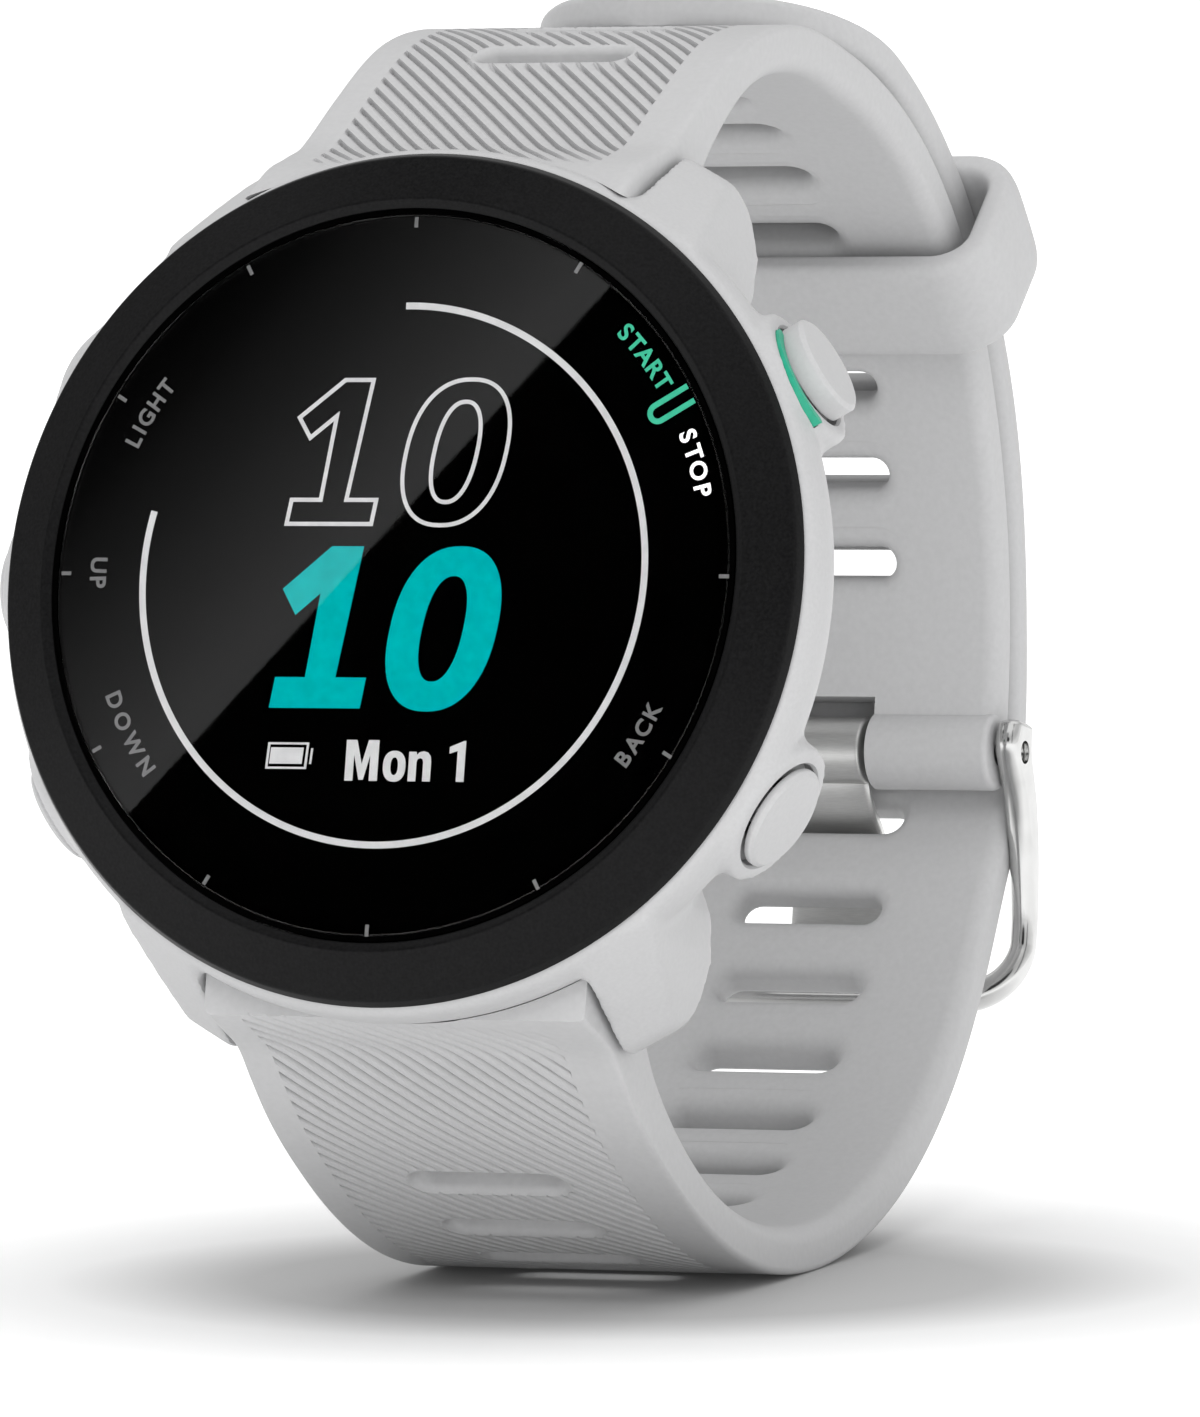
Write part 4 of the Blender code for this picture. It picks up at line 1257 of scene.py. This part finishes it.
def build_keeper():
    """A band round both strap layers: an oval section swept round a soft-cornered loop."""
    turn = radians(KEEPER_ANGLE)
    out = Vector((0, cos(turn), sin(turn)))
    along = Vector((0, -sin(turn), cos(turn)))
    middle = polar(KEEPER_ANGLE, (KEEPER_LOW + KEEPER_HIGH) / 2)
    across = KEEPER_HALF - KEEPER_CORNER
    reach = (KEEPER_HIGH - KEEPER_LOW) / 2 - KEEPER_CORNER
    path = []
    for quarter, (sx, so) in enumerate(((1, 1), (-1, 1), (-1, -1), (1, -1))):
        corner_at = Vector((sx * across, 0, 0)) + out * so * reach
        for i in range(13):
            angle = radians(90 * quarter + 7.5 * i)
            ray = Vector((cos(angle), 0, 0)) + out * sin(angle)
            path.append((middle + corner_at + ray * KEEPER_CORNER, ray))
    filled = []
    for i, (point, ray) in enumerate(path):
        after = path[(i + 1) % len(path)][0]
        parts = 12 if (after - point).length > 1.5 else 1
        filled += [(point.lerp(after, k / parts), ray) for k in range(parts)]
    loops = [section_ring(p, ray, along, *KEEPER_BAND, 40, 0.52) for p, ray in filled]
    finish_piece(skin("keeper_band", loops, closed=True), "silicone", "keeper", "keeper")


# ---------------------------------------------------------------- stage


CAMERA_AT = Vector((259.713, -586.659, -96.619))
CAMERA_RIGHT = Vector((0.92249, 0.38012, 0.06721))
CAMERA_UP = Vector((-0.00801, -0.15523, 0.98784))
CAMERA_BACK = Vector((0.38595, -0.91180, -0.14015))
CAMERA_LENS = 342.75

# Floor: half its side in metres, the place and size of the soft round of its painted contact shadow, then
# its painted shadow tones and its painted glow by nearness to the foot of the watch, from 0 at the edge of
# the soft round to 1 at its middle.
FLOOR_HALF = 6.0
SHADOW_ROUND_SHIFT = (-0.03, 0.12, 0.0)
SHADOW_ROUND_SCALE = (15.6, 20.8, 1.0)
FLOOR_SHADOW_TONE = ((0.0, 0.95), (0.25, 0.92), (0.37, 0.9), (0.54, 0.84), (0.6, 0.72), (0.7, 0.52), (0.85, 0.5))
FLOOR_PAINTED_GLOW = ((0.0, 0.34), (0.25, 0.22), (0.37, 0.14), (0.54, 0.06), (0.65, 0.01))

# The boards mirrored in the glass stand in one plane in front of the dial. They are drawn on the dial,
# and PANEL_SCALE, PANEL_DEPTH and PANEL_SHIFT carry them to that plane. The rest is for the bright one:
# the way across it, where it starts, how far it fades, and how.
PANEL_SCALE = 1.5
PANEL_DEPTH = -293.35
PANEL_SHIFT = (-129.85, 48.3)
PANEL_WAY = (-0.7415, 0.0, 0.671)
PANEL_EDGE = 131.3
PANEL_FALL = 22.5
PANEL_TONE = ((0.0, 1.0), (0.1, 0.97), (0.333, 0.62), (0.6, 0.3), (0.867, 0.08), (1.0, 0.03))

# Round dark boards that the bezel mirrors: the ways from the dial to them, how far, how large.
SHADE_WAYS = ((-0.386, -0.488, 0.782), (-0.386, -0.7, -0.6), (0.44, -0.888, 0.14))
SHADE_FAR = 300
SHADE_RADIUS = 75

# The lamps point at the middle of the watch. Metres.
LIGHT_AIM = (0, 0, 0.03)

# Light from the room by height: 0 level with the floor, 1 straight up.
WORLD_TONE = ((0.0, 0.92), (0.1, 0.9), (0.3, 0.62), (0.55, 0.62), (0.8, 1.0))


def build_camera():
    """The photo's own view: place and axes are in the watch's axes."""
    data = bpy.data.cameras.new("camera")
    data.lens = CAMERA_LENS
    data.sensor_width = 36.0
    data.clip_start = 0.01
    data.clip_end = 20.0
    turn = Matrix((CAMERA_RIGHT, CAMERA_UP, CAMERA_BACK)).transposed().to_4x4()
    camera = add_object("camera", data, WATCH @ Matrix.Translation(CAMERA_AT * MM) @ turn)
    bpy.context.scene.camera = camera


def card(name, outline, strength, faces=None):
    """A board that only shows in gloss and glass: white light, or dark at strength 0."""
    mesh = bpy.data.meshes.new(name)
    mesh.from_pydata([Vector(point) * MM for point in outline], [], faces or [tuple(range(len(outline)))])
    obj = add_object(name, mesh)
    made = bpy.data.materials.new(name)
    made.use_nodes = True
    tree = made.node_tree
    tree.nodes.remove(tree.nodes["Principled BSDF"])
    glow = add_node(tree, "Emission", Color=(1, 1, 1, 1), Strength=strength)
    wire(tree, (glow, "Emission", tree.nodes["Material Output"], "Surface"))
    mesh.materials.append(made)
    obj.visible_camera = False
    obj.visible_diffuse = False
    obj.visible_shadow = False
    return obj


def area_light(name, place, size, power):
    """A soft rectangular lamp that isn't mirrored in the glass, in metres and watts."""
    data = bpy.data.lights.new(name, "AREA")
    data.shape = "RECTANGLE"
    data.size, data.size_y = size
    data.energy = power
    obj = add_object(name, data, Matrix.Identity(4))
    obj.location = place
    obj.rotation_euler = (Vector(LIGHT_AIM) - Vector(place)).to_track_quat("-Z", "Y").to_euler()
    obj.visible_glossy = False


def build_floor():
    """A pale sheet under the watch, with a painted contact shadow round its foot."""
    mesh = bpy.data.meshes.new("floor")
    corners = [(sx * FLOOR_HALF, sy * FLOOR_HALF, 0) for sx, sy in ((-1, -1), (1, -1), (1, 1), (-1, 1))]
    mesh.from_pydata(corners, [], [(0, 1, 2, 3)])
    mesh.materials.append(floor_material())
    add_object("floor", mesh, Matrix.Identity(4))


def floor_material():
    """White paper with a painted soft shadow around the foot of the watch and a painted glow far from it."""
    made = grainy("floor_paper_painted_shadow", (0.9, 0.9, 0.9), (0.92, 0.92, 0.92), (0.75, 0.85), grain=40.0, bump=0.0,
                  gloss=0.1)
    tree = made.node_tree
    shader = tree.nodes["Principled BSDF"]
    fit = add_node(tree, "Mapping", Location=SHADOW_ROUND_SHIFT, Scale=SHADOW_ROUND_SCALE)
    shadow_round = add_node(tree, "TexGradient")
    shadow_round.gradient_type = "SPHERICAL"
    wire(tree, (first_node(tree, "TEX_COORD"), "Object", fit, "Vector"),
         (fit, "Vector", shadow_round, "Vector"))
    # Painted light: the base colour carries a painted contact shadow round the watch, and the emission
    # carries a painted glow far from it.
    for table, socket in ((FLOOR_SHADOW_TONE, "Base Color"), (FLOOR_PAINTED_GLOW, "Emission Color")):
        ramp = grey_ramp(tree, table)
        wire(tree, (shadow_round, "Fac", ramp, "Fac"), (ramp, "Color", shader, socket))
    shader.inputs["Emission Strength"].default_value = 1.0
    return made


def grey_ramp(tree, table):
    """A colour ramp with grey steps from (position, value) pairs."""
    made = add_node(tree, "ValToRGB")
    elements = made.color_ramp.elements
    while len(elements) < len(table):
        elements.new(0.5)
    for element, (position, value) in zip(elements, table):
        element.position = position
        element.color = (value, value, value, 1)
    return made


def build_light():
    """Light from all round that changes with height, and two soft lamps."""
    world = bpy.data.worlds.new("studio")
    world.use_nodes = True
    tree = world.node_tree
    parts = add_node(tree, "SeparateXYZ")
    ramp = grey_ramp(tree, WORLD_TONE)
    wire(tree, (add_node(tree, "TexCoord"), "Generated", parts, "Vector"), (parts, "Z", ramp, "Fac"),
         (ramp, "Color", tree.nodes["Background"], "Color"))
    scene = bpy.context.scene
    scene.world = world
    scene.view_settings.view_transform = "Standard"
    scene.view_settings.exposure = 0.1
    area_light("key", (0.1, -0.55, 0.5), (0.3, 0.3), 1.2)
    area_light("fill", (0.45, -0.5, 0.08), (0.4, 0.2), 0.5)


def wall_card(name, start, end, strength):
    """An upright curved board round the watch, by its angles from straight in front."""
    ways = [(sin(t), -cos(t)) for t in sweep(start, end, 12)]
    foot, top, far = -60, 600, 700
    points = [(far * x, far * y, height) for height in (foot, top) for x, y in ways]
    count = len(ways)
    faces = [(i, i + 1, count + i + 1, count + i) for i in range(count - 1)]
    card(name, points, strength, faces)


def fade_card(obj):
    """Lets the bright panel's light fall off across it, away from the edge of the dark card."""
    tree = obj.data.materials[0].node_tree
    across = add_node(tree, "VectorMath")
    across.operation = "DOT_PRODUCT"
    across.inputs[1].default_value = PANEL_WAY
    spread = add_node(tree, "MapRange", From_Min=PANEL_EDGE * MM, From_Max=(PANEL_EDGE + PANEL_FALL) * MM)
    ramp = grey_ramp(tree, PANEL_TONE)
    wire(tree, (add_node(tree, "TexCoord"), "Object", across, 0), (across, "Value", spread, "Value"),
         (spread, "Result", ramp, "Fac"), (ramp, "Color", first_node(tree, "EMISSION"), "Color"))


def build_reflection():
    """What the flat glass mirrors towards the camera: a bright panel up left, dark down right."""

    def seen(*spots):
        return [(PANEL_SCALE * x + PANEL_SHIFT[0], PANEL_DEPTH, PANEL_SCALE * z + PANEL_SHIFT[1])
                for x, z in spots]

    top, low = (27.0, 32.4), (-28.0, -28.4)
    card("dark_card", seen(low, (60, -60), (60, 60), top), 0.0)
    fade_card(card("bright_card", seen(low, top, (0, 70), (-70, 70), (-70, -28)), 0.86))
    wall_card("left_wall", -105, 25, 0.36)
    wall_card("thin_wall", 58, 66, 0.1)
    for i, way in enumerate(SHADE_WAYS):
        middle = Vector(way) * SHADE_FAR
        side = middle.orthogonal().normalized()
        other = side.cross(middle).normalized()
        rim = [middle + SHADE_RADIUS * (cos(t) * side + sin(t) * other) for t in sweep(0, 345, 23)]
        card(f"shade_card_{i}", rim, 0.0)


build_camera()
build_floor()
build_light()
build_reflection()
build_case()
build_bezel()
build_lens()
build_time()
build_dial_marks()
build_buttons()
build_back()
dress_inside()
build_upper_strap()
build_lower_strap()
build_buckle()
build_tongue()
build_keeper()
bpy.context.view_layer.update()
